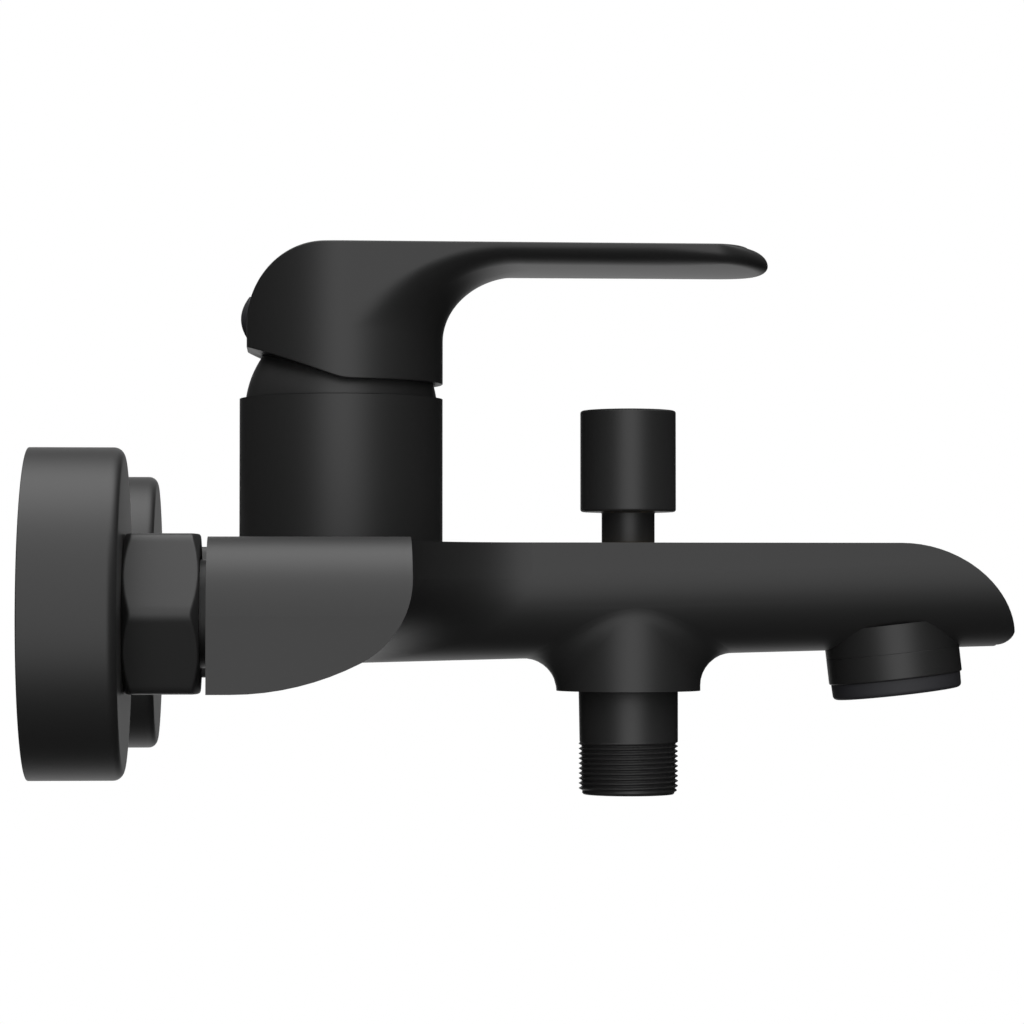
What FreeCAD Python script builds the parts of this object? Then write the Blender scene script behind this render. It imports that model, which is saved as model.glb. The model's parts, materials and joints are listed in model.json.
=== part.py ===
import FreeCAD, Part
import math
import os
import re
import Sketcher

# A wall mounted single lever bath mixer, in millimetres.
# +X points out of the wall along the spout, +Z is up, and the origin lies on the wall plane midway
# between the two inlets, at the height of their axis. Hot is at -Y and cold is at +Y.

doc = FreeCAD.newDocument("bath_mixer")
sheet = doc.addObject("Spreadsheet::Sheet", "Sizes")

SIZES = {
    # wall side
    "inlet_spacing": 150.0,        # between the axes of the two inlets
    "flange_radius": 31.25,
    "flange_depth": 18.0,
    "flange_wall": 1.5,
    "flange_round": 2.0,           # rounded front edge of the flange
    "wall_thread_radius": 10.48,   # G 1/2 outside
    "wall_thread_length": 11.0,
    "eccentricity": 7.5,           # wall thread axis below the faucet's inlet axis
    "union_web": 5.0,              # solid web between the two ends of the wall union
    "union_bore": 6.5,
    "union_wall": 1.5,             # web around the wall thread
    "union_thread_radius": 13.1,   # G 3/4 outside
    "union_face": 25.2,            # end of the wall union, where the washer seats
    "nut_back": 18.3,
    "nut_length": 13.9,
    "nut_flats": 30.0,
    "nut_lip": 2.2,
    "nut_face_cut": 0.4,           # from the flats in to the round faces
    "nut_chamfer_run": 6.0,
    "washer_height": 2.0,
    "neck_radius": 10.2,
    "nipple_thread_radius": 9.2,
    "nipple_thread_length": 12.0,
    "nipple_bore": 6.8,
    "filter_wall": 0.5,
    "filter_taper": 2.0,
    # cast body
    "arm_back": 33.5,
    "arm_top": 14.55,
    "arm_bottom": -14.87,
    "arm_belly_start": 38.1,       # where the arms' underside starts to curve up
    "arm_belly_radius": 52.6,
    "arm_belly_turn": 27.0,        # degrees of the belly's arc
    "arm_bow_radius": 17.7,        # from the belly up to the front of the arms
    "arm_end": 90.0,               # half the length of the cross arm
    "arm_end_round": 15.0,
    "spout_half_width": 17.5,
    "spout_root_bottom": -10.3,    # bottom of the spout at the front of the arms
    "spout_rise": 1.46,            # degrees that the spout's underside climbs
    "nose_start": 175.3,
    "nose_top_radius": 26.6,
    "nose_turn": 31.0,             # degrees of the first nose arc
    "nose_front_radius": 26.0,
    "nose_front_turn": 42.0,       # degrees of the second nose arc
    "spout_tip_bottom": -6.75,
    "spout_tip_round": 2.6,
    "root_fillet": 27.0,           # between the arms and the spout's sides
    "skirt_radius": 15.2,
    "skirt_bottom": -16.4,
    "skirt_fillet": 6.9,
    # cartridge
    "cartridge_x": 59.4,
    "housing_radius": 21.35,
    "housing_top": 44.9,
    "cavity_radius": 17.6,
    "cavity_floor": 10.0,
    "collar_thread_radius": 19.0,
    "shell_wall": 1.6,
    "base_height": 6.0,
    "disc_height": 3.0,
    "moving_disc_radius": 12.4,
    "pocket_wall": 4.0,            # around the pocket where the water mixes
    "disc_film": 0.05,
    "carrier_height": 5.4,
    "carrier_gap": 0.5,
    "guide_disc_radius": 15.4,
    "guide_disc_height": 5.6,
    "guide_neck_radius": 12.0,
    "guide_top": 46.0,
    "slot_back": 3.0,              # room for the spindle to rock, behind and ahead of it
    "slot_front": 5.8,
    "shell_top_height": 3.0,
    "nut_ring_height": 4.0,
    "nut_ring_gap": 1.5,           # around the guide
    "port_radius": 3.2,
    "port_back": 6.0,
    "port_side": 7.2,
    "outlet_port_ahead": 8.5,
    "seal_height": 1.5,
    "seal_wall": 1.3,
    # lever
    "pivot_height": 42.3,
    "lever_lift": 20.0,            # degrees
    "dome_radius": 20.2,
    "dome_wall": 1.6,
    "dome_throat_radius": 17.0,
    "dome_top": 54.7,
    "lever_bottom": 48.0,
    "lever_top": 76.3,
    "lever_back": 39.6,
    "lever_back_round": 16.7,
    "lever_tip": 149.6,
    "lever_half_width": 19.6,      # where the rounded end begins
    "lever_corner_radius": 6.0,
    "lever_corner_turn": 65.0,     # degrees of each corner's arc
    "paddle_thickness": 4.6,
    "paddle_round": 2.6,
    "lever_throat": 15.0,
    "lever_bore_gap": 0.45,
    "boss_radius": 7.4,
    "boss_bottom": 54.5,
    "spindle_long": 7.0,
    "spindle_wide": 8.0,
    "spindle_top": 71.0,
    "spindle_foot": 7.0,           # from the pivot down to the end of the flats
    "stem_step": 0.6,              # from the ball in to the stem
    "ball_radius": 2.6,
    "ball_arm": 16.5,
    "socket_depth": 0.2,           # under the ball
    "pin_radius": 1.5,
    "pin_set_in": 0.5,
    "screw_radius": 2.0,
    "screw_length": 9.0,
    "screw_height": 61.7,
    "screw_hex": 2.0,
    "plug_radius": 4.75,
    "plug_proud": 1.3,
    "plug_shank": 2.5,
    "plug_cap_round": 9.5,
    # diverter
    "diverter_x": 120.0,
    "knob_radius": 10.1,
    "knob_bottom": 21.4,
    "knob_top": 42.7,
    "knob_edge": 0.6,
    "knob_neck_radius": 5.6,
    "knob_gap": 0.1,
    "rod_radius": 3.0,
    "rod_top": 36.0,
    "gland_radius": 8.0,
    "gland_bottom": 9.9,
    "chamber_radius": 9.5,
    "seat_radius": 6.5,
    "seat_bottom": 1.0,
    "seat_height": 1.5,
    "piston_radius": 8.4,
    "piston_height": 1.5,
    "valve_spring_radius": 4.9,
    "valve_spring_wire": 0.9,
    "valve_spring_turns": 6.0,
    "clip_radius": 4.6,
    "clip_height": 0.8,
    # shower outlet
    "outlet_top": -11.5,
    "outlet_body_radius": 9.4,
    "outlet_bore": 7.5,
    "outlet_bottom": -38.2,
    "outlet_chamfer": 1.0,
    "oring_wire": 0.9,
    "check_wall": 1.0,
    "check_top": -20.0,
    "check_height": 15.0,
    "check_lip": 1.5,
    "check_lip_bore": 4.2,
    "poppet_radius": 5.3,
    "poppet_height": 1.4,
    "poppet_stem": 1.5,
    "poppet_gap": 0.05,
    "stem_short": 0.5,
    "spider_arm": 1.2,
    "check_spring_radius": 3.1,
    "check_spring_wire": 0.6,
    "check_spring_turns": 6.0,
    # spout outlet
    "aerator_x": 176.2,
    "aerator_height": -7.5,
    "aerator_tilt": 6.5,           # degrees that the outlet leans forward
    "aerator_radius": 14.1,
    "aerator_joint": -0.8,
    "aerator_thread_radius": 12.0,
    "aerator_thread_length": 5.0,
    "aerator_ring_length": 5.5,
    "aerator_insert_radius": 13.7,
    "aerator_insert_length": 3.3,
    "aerator_bore": 10.6,
    "screen_height": 1.2,
    "screen_seat": 1.5,
    "screen_frame": 1.2,           # from the bore in to the screen
    "screen_hole": 1.05,
    "screen_pitch": 2.7,
    "insert_edge": 0.9,
    "aerator_well_radius": 8.0,
    "aerator_well_depth": 8.5,
    "washer_wall": 2.6,
    "aerator_washer_height": 1.4,
    # waterways
    "channel_radius": 5.0,
    "mixed_height": -3.2,
    "mixed_radius": 4.0,
    "exit_height": 6.3,
    "exit_radius": 3.7,
    "exit_short": 2.0,             # the channel ends this far before the outlet's axis
    # fits
    "thread_gap": 0.05,            # radial, between a thread and its hole
    "running_gap": 0.05,           # radial, between a shaft and its bearing
    "free_gap": 0.3,               # between pieces that move past each other
    "past": 1.0,                   # how far a cut or a buried end runs past a face
}

PLACES = {
    # worked out from the sizes
    "inlet_y": "inlet_spacing / 2",
    "union_start": "wall_thread_length + union_web",
    "washer_end": "union_face + washer_height",
    "nut_front": "nut_back + nut_length",
    "nipple_end": "arm_back + nipple_thread_length",
    "belly_end_x": "arm_belly_start + arm_belly_radius * sin(arm_belly_turn)",
    "belly_end_z": "arm_bottom + arm_belly_radius * (1 - cos(arm_belly_turn))",
    "bow_top": "belly_end_z + arm_bow_radius * cos(arm_belly_turn)",
    "arm_front": "belly_end_x + arm_bow_radius * (1 - sin(arm_belly_turn))",
    "corner_y": "lever_half_width - lever_corner_radius * (1 - cos(lever_corner_turn))",
    "lever_end_radius": "corner_y / cos(lever_corner_turn)",
    "corner_x": "lever_tip - lever_end_radius * (1 - sin(lever_corner_turn))",
    "paddle_end": "corner_x - lever_corner_radius * sin(lever_corner_turn)",
    "join_x": "nose_start + nose_top_radius * sin(nose_turn)",
    "join_z": "arm_top - nose_top_radius * (1 - cos(nose_turn))",
    "front_x": "join_x - nose_front_radius * sin(nose_turn)",
    "front_z": "join_z - nose_front_radius * cos(nose_turn)",
    "tip_x": "front_x + nose_front_radius * sin(nose_turn + nose_front_turn)",
    "tip_z": "front_z + nose_front_radius * cos(nose_turn + nose_front_turn)",
    "base_top": "cavity_floor + base_height",
    "fixed_disc_top": "base_top + disc_height",
    "moving_disc_bottom": "fixed_disc_top + disc_film",
    "carrier_bottom": "moving_disc_bottom + disc_height",
    "carrier_top": "carrier_bottom + carrier_height",
    "guide_bottom": "carrier_top + carrier_gap",
    "guide_disc_top": "guide_bottom + guide_disc_height",
    "shell_top_bottom": "guide_disc_top + free_gap",
    "shell_top": "shell_top_bottom + shell_top_height",
    "shell_radius": "cavity_radius - thread_gap",
    "shell_bore": "shell_radius - shell_wall",
    "nut_ring_top": "shell_top + nut_ring_height",
    "ball_height": "pivot_height - ball_arm",
    "inlet_port_x": "cartridge_x - port_back",
    "outlet_port_x": "cartridge_x + outlet_port_ahead",
    "disc_travel": "ball_arm * sin(lever_lift)",
    "disc_rest_x": "cartridge_x - disc_travel / 2",
    "lever_bore": "dome_radius + lever_bore_gap",
    "lever_round_x": "lever_back + lever_back_round",
    "lever_round_z": "lever_top - lever_back_round",
    "lever_cut_x": "cartridge_x - lever_back",
    "lever_cut_z": "lever_bottom + lever_cut_x * tan(lever_lift)",
    "lever_front": "cartridge_x + housing_radius",
    "paddle_bottom": "lever_top - paddle_thickness",
    "gland_top": "arm_top",
    "piston_stack": "3 * piston_height",
    "piston_bottom": "outlet_top + free_gap",
    "piston_top": "piston_bottom + piston_stack",
    "check_bottom": "check_top - check_height",
    "poppet_top": "check_top - check_lip",
    "poppet_bottom": "poppet_top - poppet_height",
    "spider_top": "check_bottom + check_lip",
    "spout_tip_foot": "tip_x - spout_tip_round",
    "gland_ring_radius": "rod_radius + running_gap + oring_wire",
    "check_bore": "outlet_bore - thread_gap - check_wall",
    "ring_bottom": "aerator_joint - aerator_ring_length",
    "ring_top": "aerator_joint + aerator_thread_length - aerator_washer_height",
    "insert_bottom": "ring_bottom - aerator_insert_length",
    "screen_bottom": "insert_bottom + screen_seat",
    "aerator_hole_radius": "aerator_thread_radius + thread_gap",
    "aerator_thread_top": "aerator_joint + aerator_thread_length",
    "aerator_well_top": "aerator_thread_top + aerator_well_depth",
    "aerator_boss_top": "aerator_thread_top + past",
}


def ex(text):
    """The spreadsheet expression for a formula written with the names above."""
    def swap(match):
        word = match.group(0)
        if word in SIZES:
            return "Sizes." + word
        if word in PLACES:
            return "(" + ex(PLACES[word]) + ")"
        return word
    return re.sub(r"[a-z]+(?:_[a-z]+)*", swap, str(text))


def number(text):
    """The value of a formula, in millimetres or degrees."""
    return float(sheet.evalExpression(ex(text)))


for row, (alias, value) in enumerate(SIZES.items(), start=1):
    sheet.set(f"A{row}", alias)
    sheet.set(f"B{row}", str(value))
    sheet.setAlias(f"B{row}", alias)
doc.recompute()

X_AXIS = FreeCAD.Vector(1, 0, 0)
Y_AXIS = FreeCAD.Vector(0, 1, 0)
Z_AXIS = FreeCAD.Vector(0, 0, 1)
UPRIGHT = FreeCAD.Rotation()
ALONG_X = FreeCAD.Rotation(Y_AXIS, 90)
ALONG_Y = FreeCAD.Rotation(X_AXIS, -90)
CLOSE = 0.01                   # two places this near are the same
COIL_STEPS = 16                # straight lengths in each turn of a spring
WIRE_SIDES = 8                 # sides of a spring's wire
NODES = []


def place(item, x=0, y=0, z=0, turn=UPRIGHT):
    """Puts an object at a point given by three formulas, turned by a rotation."""
    item.Placement = FreeCAD.Placement(FreeCAD.Vector(), turn)
    for axis, formula in (("x", x), ("y", y), ("z", z)):
        item.setExpression(f"Placement.Base.{axis}", ex(formula))
    return item


def node(item, label):
    """Names a finished sub-part."""
    item.Label = label
    NODES.append(item)
    return item


def arc_between(start, end, radius, turn):
    """The arc from start to end, turning left (turn 1) or right (turn -1), under half a circle."""
    chord = end - start
    half = chord.Length / 2
    rise = math.sqrt(max(radius * radius - half * half, 0.0))
    side = FreeCAD.Vector(-chord.y, chord.x, 0).normalize()
    centre = start + chord * 0.5 + side * (rise * turn)
    first, last = (start, end) if turn > 0 else (end, start)
    angles = [math.atan2(point.y - centre.y, point.x - centre.x) for point in (first, last)]
    if angles[1] < angles[0]:
        angles[1] += 2 * math.pi
    return Part.ArcOfCircle(Part.Circle(centre, FreeCAD.Vector(0, 0, 1), radius), *angles)


def draw(sketch, outline):
    """A closed outline in a sketch.

    Each entry is the formulas of a corner, and for an arc into that corner its radius and turn.
    Every corner and radius is a named constraint bound to its formula.
    """
    corners = [FreeCAD.Vector(number(entry[0]), number(entry[1]), 0) for entry in outline]
    ends = []
    for index, entry in enumerate(outline):
        start = corners[index - 1]
        if len(entry) == 4:
            sketch.addGeometry(arc_between(start, corners[index], number(entry[2]), entry[3]))
            ends.append((1, 2) if entry[3] > 0 else (2, 1))
        else:
            sketch.addGeometry(Part.LineSegment(start, corners[index]))
            ends.append((1, 2))
    for index, entry in enumerate(outline):
        nearer = ends[index][1]
        following = (index + 1) % len(outline)
        sketch.addConstraint(Sketcher.Constraint("Coincident", index, nearer, following, ends[following][0]))
        for kind, value, formula in (("DistanceX", corners[index].x, entry[0]),
                                     ("DistanceY", corners[index].y, entry[1])):
            bind(sketch, Sketcher.Constraint(kind, -1, 1, index, nearer, value), f"{kind}{index}", formula)
        if len(entry) == 4:
            radius = Sketcher.Constraint("Radius", index, number(entry[2]))
            bind(sketch, radius, f"Radius{index}", entry[2])


def bind(sketch, constraint, name, formula):
    """Adds a constraint and ties it to its formula."""
    added = sketch.addConstraint(constraint)
    sketch.renameConstraint(added, name)
    sketch.setExpression(f"Constraints.{name}", ex(formula))


def turned(name, outline):
    """A PartDesign body turned about its own Z axis from a (radius, height) outline."""
    body = doc.addObject("PartDesign::Body", name)
    sketch = body.newObject("Sketcher::SketchObject", name + "_profile")
    plane = next(item for item in body.Origin.OriginFeatures if item.Role == "XZ_Plane")
    sketch.AttachmentSupport = [(plane, "")]
    sketch.MapMode = "FlatFace"
    draw(sketch, outline)
    revolution = body.newObject("PartDesign::Revolution", name + "_turning")
    revolution.Profile = sketch
    revolution.ReferenceAxis = (sketch, ["V_Axis"])
    revolution.Angle = 360
    body.Tip = revolution
    return body


def tube(name, outer, inner, bottom, top):
    """A plain turned ring or tube between two heights."""
    return turned(name, [(inner, bottom), (outer, bottom), (outer, top), (inner, top)])


def rod(name, radius, low, high, x=0, y=0, z=0, turn=UPRIGHT):
    """A cylinder from low to high along its turned axis, measured from the point x, y, z."""
    item = doc.addObject("Part::Cylinder", name)
    item.setExpression("Radius", ex(radius))
    item.setExpression("Height", ex(f"({high}) - ({low})"))
    along = turn.multVec(Z_AXIS)
    starts = [f"({value}) + ({low}) * {part:.10f}" for value, part in zip((x, y, z), along)]
    return place(item, *starts, turn)


def box(name, low, high):
    """A block between two corners given by formulas."""
    item = doc.addObject("Part::Box", name)
    for size, start, end in zip(("Length", "Width", "Height"), low, high):
        item.setExpression(size, ex(f"({end}) - ({start})"))
    return place(item, *low)


def ball(name, radius, x, y, z):
    """A sphere about a point."""
    item = doc.addObject("Part::Sphere", name)
    item.setExpression("Radius", ex(radius))
    return place(item, x, y, z)


def prism(name, plane_turn, outline, depth, start=0):
    """An outline drawn in a plane and pushed out square to it: depth both ways from start."""
    sketch = doc.addObject("Sketcher::SketchObject", name + "_outline")
    draw(sketch, outline)
    sketch.Placement = FreeCAD.Placement(FreeCAD.Vector(), plane_turn)
    item = doc.addObject("Part::Extrusion", name)
    item.Base = sketch
    item.DirMode = "Normal"
    item.Solid = True
    item.setExpression("LengthFwd", ex(f"({start}) + ({depth})"))
    item.setExpression("LengthRev", ex(f"({depth}) - ({start})"))
    return item


SIDE_VIEW = FreeCAD.Rotation(X_AXIS, 90)                                  # outline in X and Z
END_VIEW = FreeCAD.Rotation(FreeCAD.Vector(1, 1, 1), 120)                 # outline in Y and Z


def fuse(name, items):
    """One solid from several that overlap."""
    item = doc.addObject("Part::MultiFuse", name)
    item.Shapes = items
    item.Refine = True
    return item


def cut(name, base, tools):
    """The base with every tool taken away."""
    item = doc.addObject("Part::Cut", name)
    item.Base = base
    item.Tool = tools[0] if len(tools) == 1 else fuse(name + "_tools", tools)
    return item


def common(name, items):
    """What several solids share."""
    item = doc.addObject("Part::MultiCommon", name)
    item.Shapes = items
    return item


def group(name, items):
    """Separate solids kept together in one node."""
    item = doc.addObject("Part::Compound", name)
    item.Links = items
    return item


def fillet(name, base, radius, wanted):
    """Rounds the edges of base that wanted() picks."""
    doc.recompute()
    size = number(radius)
    picked = [index for index, edge in enumerate(base.Shape.Edges, start=1) if wanted(edge)]
    item = doc.addObject("Part::Fillet", name)
    item.Base = base
    item.Edges = [(index, size, size) for index in picked]
    return item


def spring(name, radius, wire, bottom, top, turns):
    """A coil spring about its own Z axis from height 0, its wire a run of short straight lengths."""
    mean = number(radius)
    climb = number(f"({top}) - ({bottom}) - ({wire})")
    steps = round(number(turns) * COIL_STEPS)
    points = []
    for step in range(steps + 1):
        angle = 2 * math.pi * step / COIL_STEPS
        points.append(FreeCAD.Vector(mean * math.cos(angle), mean * math.sin(angle), climb * step / steps))
    coil = doc.addObject("Part::Feature", name + "_coil")
    coil.Shape = Part.makePolygon(points)
    section = doc.addObject("Part::RegularPolygon", name + "_wire")
    section.Polygon = WIRE_SIDES
    section.setExpression("Circumradius", ex(f"({wire}) / 2"))
    ahead = (points[1] - points[0]).normalize()
    section.Placement = FreeCAD.Placement(points[0], FreeCAD.Rotation(Z_AXIS, ahead))
    sweep = doc.addObject("Part::Sweep", name)
    sweep.Sections = [section]
    sweep.Spine = (coil, ["Edge%d" % index for index in range(1, steps + 1)])
    sweep.Solid = True
    sweep.Frenet = False
    sweep.Transition = "Right corner"
    return sweep


# --- cast body -------------------------------------------------------------------------------------
def near(value, formula):
    """Whether a number is a formula's value."""
    return abs(value - number(formula)) < CLOSE


def edge_points(edge):
    """The start, middle and end of an edge."""
    first, last = edge.FirstParameter, edge.LastParameter
    return [edge.valueAt(first), edge.valueAt((first + last) / 2), edge.valueAt(last)]


def on_arm_front(point):
    """Whether a point lies on the front of the arms: the flat or the round under it."""
    bow = math.hypot(point.x - number("arm_front - arm_bow_radius"), point.z - number("bow_top"))
    belly = math.hypot(point.x - number("arm_belly_start"), point.z - number("arm_bottom + arm_belly_radius"))
    flat = near(point.x, "arm_front") and point.z > number("bow_top") - CLOSE
    return flat or near(bow, "arm_bow_radius") or near(belly, "arm_belly_radius")


def at_root(edge):
    """The edges where the spout's sides and underside leave the front of the arms."""
    points = edge_points(edge)
    inside = all(abs(point.y) < number("spout_half_width") + CLOSE for point in points)
    return inside and all(on_arm_front(point) for point in points)


def at_skirt(edge):
    """The edge where the shower skirt leaves the spout's underside."""
    around = [math.hypot(point.x - number("diverter_x"), point.y) for point in edge_points(edge)]
    curved = edge.Curve.TypeId != "Part::GeomLine"
    above = edge.CenterOfMass.z > number("skirt_bottom") + CLOSE
    return curved and above and all(near(distance, "skirt_radius") for distance in around)


AERATOR_TURN = FreeCAD.Rotation(Y_AXIS, -number("aerator_tilt"))
AERATOR_AT = ("aerator_x", 0, "aerator_height", AERATOR_TURN)


def on_aerator(item):
    """Moves a piece drawn about the upright axis to the leaning axis of the spout outlet."""
    return place(item, *AERATOR_AT)


def casting_blank():
    """The outside of the casting: cross arm, spout, cartridge housing, shower skirt and aerator boss."""
    arm_side = prism("arm_side", SIDE_VIEW, [
        ("arm_back", "arm_bottom"),
        ("arm_belly_start", "arm_bottom"),
        ("belly_end_x", "belly_end_z", "arm_belly_radius", 1),
        ("arm_front", "bow_top", "arm_bow_radius", 1),
        ("arm_front", "arm_top"),
        ("arm_back", "arm_top")], "arm_end + past")
    arm_ends = prism("arm_ends", END_VIEW, [
        ("-arm_end", "arm_bottom - past"),
        ("arm_end", "arm_bottom - past"),
        ("arm_end", "arm_top - arm_end_round"),
        ("arm_end - arm_end_round", "arm_top", "arm_end_round", 1),
        ("arm_end_round - arm_end", "arm_top"),
        ("-arm_end", "arm_top - arm_end_round", "arm_end_round", 1)], "arm_front + past")
    section = prism("spout_section", END_VIEW, [
        ("-spout_half_width", "spout_half_width"),
        ("0", "0", "spout_half_width", 1),
        ("spout_half_width", "spout_half_width", "spout_half_width", 1),
        ("spout_half_width", "4 * spout_half_width"),
        ("-spout_half_width", "4 * spout_half_width")], "tip_x")
    place(section, "arm_front", 0, "spout_root_bottom")
    section.Placement.Rotation = FreeCAD.Rotation(Y_AXIS, -number("spout_rise"))
    spout_side = prism("spout_side", SIDE_VIEW, [
        ("nipple_end", "arm_bottom"),
        ("spout_tip_foot", "arm_bottom"),
        ("spout_tip_foot", "spout_tip_bottom"),
        ("tip_x", "tip_z", "spout_tip_round", 1),
        ("join_x", "join_z", "nose_front_radius", 1),
        ("nose_start", "arm_top", "nose_top_radius", 1),
        ("nipple_end", "arm_top")], "spout_half_width + past")
    arm = common("arm", [arm_side, arm_ends])
    spout = common("spout", [section, spout_side])
    rooted = fillet("arm_and_spout", fuse("arm_with_spout", [arm, spout]), "root_fillet", at_root)
    skirt = rod("skirt", "skirt_radius", "skirt_bottom", 0, "diverter_x")
    skirted = fillet("skirted_spout", fuse("spout_with_skirt", [rooted, skirt]), "skirt_fillet", at_skirt)
    housing = rod("housing", "housing_radius", 0, "housing_top", "cartridge_x")
    return fuse("casting_blank", [skirted, housing, aerator_boss()])


def aerator_boss():
    """The boss under the nose, turned about the leaning outlet axis."""
    return on_aerator(turned("aerator_boss", [
        ("0", "aerator_joint"), ("aerator_radius", "aerator_joint"),
        ("aerator_radius", "aerator_boss_top"), ("0", "aerator_boss_top")]))


def inlet_bores(side, sign):
    """The threaded hole, cross channel and riser that feed one side of the cartridge."""
    inlet_y = f"{sign} * inlet_y"
    port_y = f"{sign} * port_side"
    threaded = rod(f"threaded_inlet_{side}", "nipple_thread_radius + thread_gap",
                   "arm_back - past", "nipple_end", 0, inlet_y, 0, ALONG_X)
    lead = rod(f"inlet_lead_{side}", "channel_radius", "nipple_end - past", "inlet_port_x",
               0, inlet_y, 0, ALONG_X)
    cross = rod(f"cross_channel_{side}", "channel_radius", "0", "inlet_y - port_side",
                "inlet_port_x", port_y if sign > 0 else "-inlet_y", 0, ALONG_Y)
    elbow = ball(f"inlet_elbow_{side}", "channel_radius", "inlet_port_x", inlet_y, 0)
    riser = rod(f"riser_{side}", "port_radius", "0", "cavity_floor + past", "inlet_port_x", port_y, 0)
    return [threaded, lead, cross, elbow, riser]


def main_body():
    """The casting with its cartridge cavity, diverter chamber, aerator thread and waterways."""
    chamber_bottom = "skirt_bottom - past"
    voids = [
        rod("cartridge_cavity", "cavity_radius", "cavity_floor", "housing_top + past", "cartridge_x"),
        rod("collar_thread", "collar_thread_radius", "shell_top", "housing_top + past", "cartridge_x"),
        rod("mixed_riser", "mixed_radius", "mixed_height", "cavity_floor + past", "outlet_port_x"),
        rod("mixed_channel", "mixed_radius", "outlet_port_x", "diverter_x", 0, 0, "mixed_height", ALONG_X),
        ball("mixed_elbow", "mixed_radius", "outlet_port_x", 0, "mixed_height"),
        rod("lower_chamber", "chamber_radius", chamber_bottom, "seat_bottom", "diverter_x"),
        rod("valve_seat", "seat_radius", "seat_bottom - past", "seat_bottom + seat_height + past",
            "diverter_x"),
        rod("upper_chamber", "chamber_radius", "seat_bottom + seat_height", "gland_bottom", "diverter_x"),
        rod("gland_hole", "gland_radius + thread_gap", "gland_bottom - past", "arm_top + past", "diverter_x"),
        rod("exit_channel", "exit_radius", "diverter_x", "aerator_x - exit_short",
            0, 0, "exit_height", ALONG_X),
        on_aerator(turned("aerator_hole", [
            ("0", "insert_bottom"), ("aerator_radius + thread_gap", "insert_bottom"),
            ("aerator_radius + thread_gap", "aerator_joint"), ("aerator_hole_radius", "aerator_joint"),
            ("aerator_hole_radius", "aerator_thread_top"), ("aerator_well_radius", "aerator_thread_top"),
            ("aerator_well_radius", "aerator_well_top"), ("0", "aerator_well_top")])),
    ]
    for side, sign in (("hot", -1), ("cold", 1)):
        voids += inlet_bores(side, sign)
    return node(cut("main_body", casting_blank(), voids), "main_body")


# --- wall side -------------------------------------------------------------------------------------
def wall_flange(side, inlet_y):
    """A round cover that hides the hole in the wall, open at the back."""
    shell = turned(f"flange_{side}", [
        ("union_thread_radius + free_gap", "flange_depth - flange_wall"),
        ("flange_radius - flange_wall", "flange_depth - flange_wall"),
        ("flange_radius - flange_wall", "0"),
        ("flange_radius", "0"),
        ("flange_radius", "flange_depth - flange_round"),
        ("flange_radius - flange_round", "flange_depth", "flange_round", 1),
        ("union_thread_radius + free_gap", "flange_depth")])
    node(place(shell, 0, inlet_y, 0, ALONG_X), f"wall_flange_{side}")


def wall_union(side, inlet_y):
    """An eccentric union: a wall thread set below the larger thread that takes the nut."""
    wall_end = rod(f"wall_thread_{side}", "wall_thread_radius", "0", "union_start - past",
                   0, inlet_y, "-eccentricity", ALONG_X)
    web = rod(f"union_web_{side}", "union_thread_radius", "wall_thread_length", "union_start",
              0, inlet_y, 0, ALONG_X)
    web_low = rod(f"union_web_low_{side}", "wall_thread_radius + union_wall",
                  "wall_thread_length", "union_start", 0, inlet_y, "-eccentricity", ALONG_X)
    faucet_end = rod(f"union_thread_{side}", "union_thread_radius", "union_start - past", "union_face",
                     0, inlet_y, 0, ALONG_X)
    blank = fuse(f"union_blank_{side}", [wall_end, web, web_low, faucet_end])
    bores = [
        rod(f"wall_bore_{side}", "union_bore", "-past", "wall_thread_length + union_web / 2 + past",
            0, inlet_y, "-eccentricity", ALONG_X),
        rod(f"faucet_bore_{side}", "union_bore", "wall_thread_length + union_web / 2 - past",
            "union_face + past", 0, inlet_y, 0, ALONG_X),
    ]
    node(cut(f"union_{side}", blank, bores), f"wall_union_{side}")


def union_nut(side, inlet_y):
    """A hexagon nut, chamfered at both ends, held on the inlet nipple by its collar."""
    hexagon = doc.addObject("Part::Prism", f"nut_hexagon_{side}")
    hexagon.Polygon = 6
    hexagon.setExpression("Circumradius", ex("nut_flats / sqrt(3)"))
    hexagon.setExpression("Height", ex("nut_length"))
    place(hexagon, "nut_back", inlet_y, 0, ALONG_X.multiply(FreeCAD.Rotation(Z_AXIS, 30)))
    reach = "nut_flats / 2 - nut_face_cut"
    corners = turned(f"nut_corners_{side}", [
        ("0", "nut_back"), (reach, "nut_back"),
        (f"{reach} + nut_chamfer_run", "nut_back + nut_chamfer_run * tan(30)"),
        (f"{reach} + nut_chamfer_run", "nut_front - nut_chamfer_run * tan(30)"),
        (reach, "nut_front"), ("0", "nut_front")])
    place(corners, 0, inlet_y, 0, ALONG_X)
    blank = common(f"nut_blank_{side}", [hexagon, corners])
    threaded = rod(f"nut_thread_{side}", "union_thread_radius + thread_gap", "nut_back - past",
                   "nut_front - nut_lip", 0, inlet_y, 0, ALONG_X)
    mouth = rod(f"nut_mouth_{side}", "neck_radius + free_gap", "nut_back", "nut_front + past",
                0, inlet_y, 0, ALONG_X)
    node(cut(f"nut_{side}", blank, [threaded, mouth]), f"union_nut_{side}")


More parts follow.
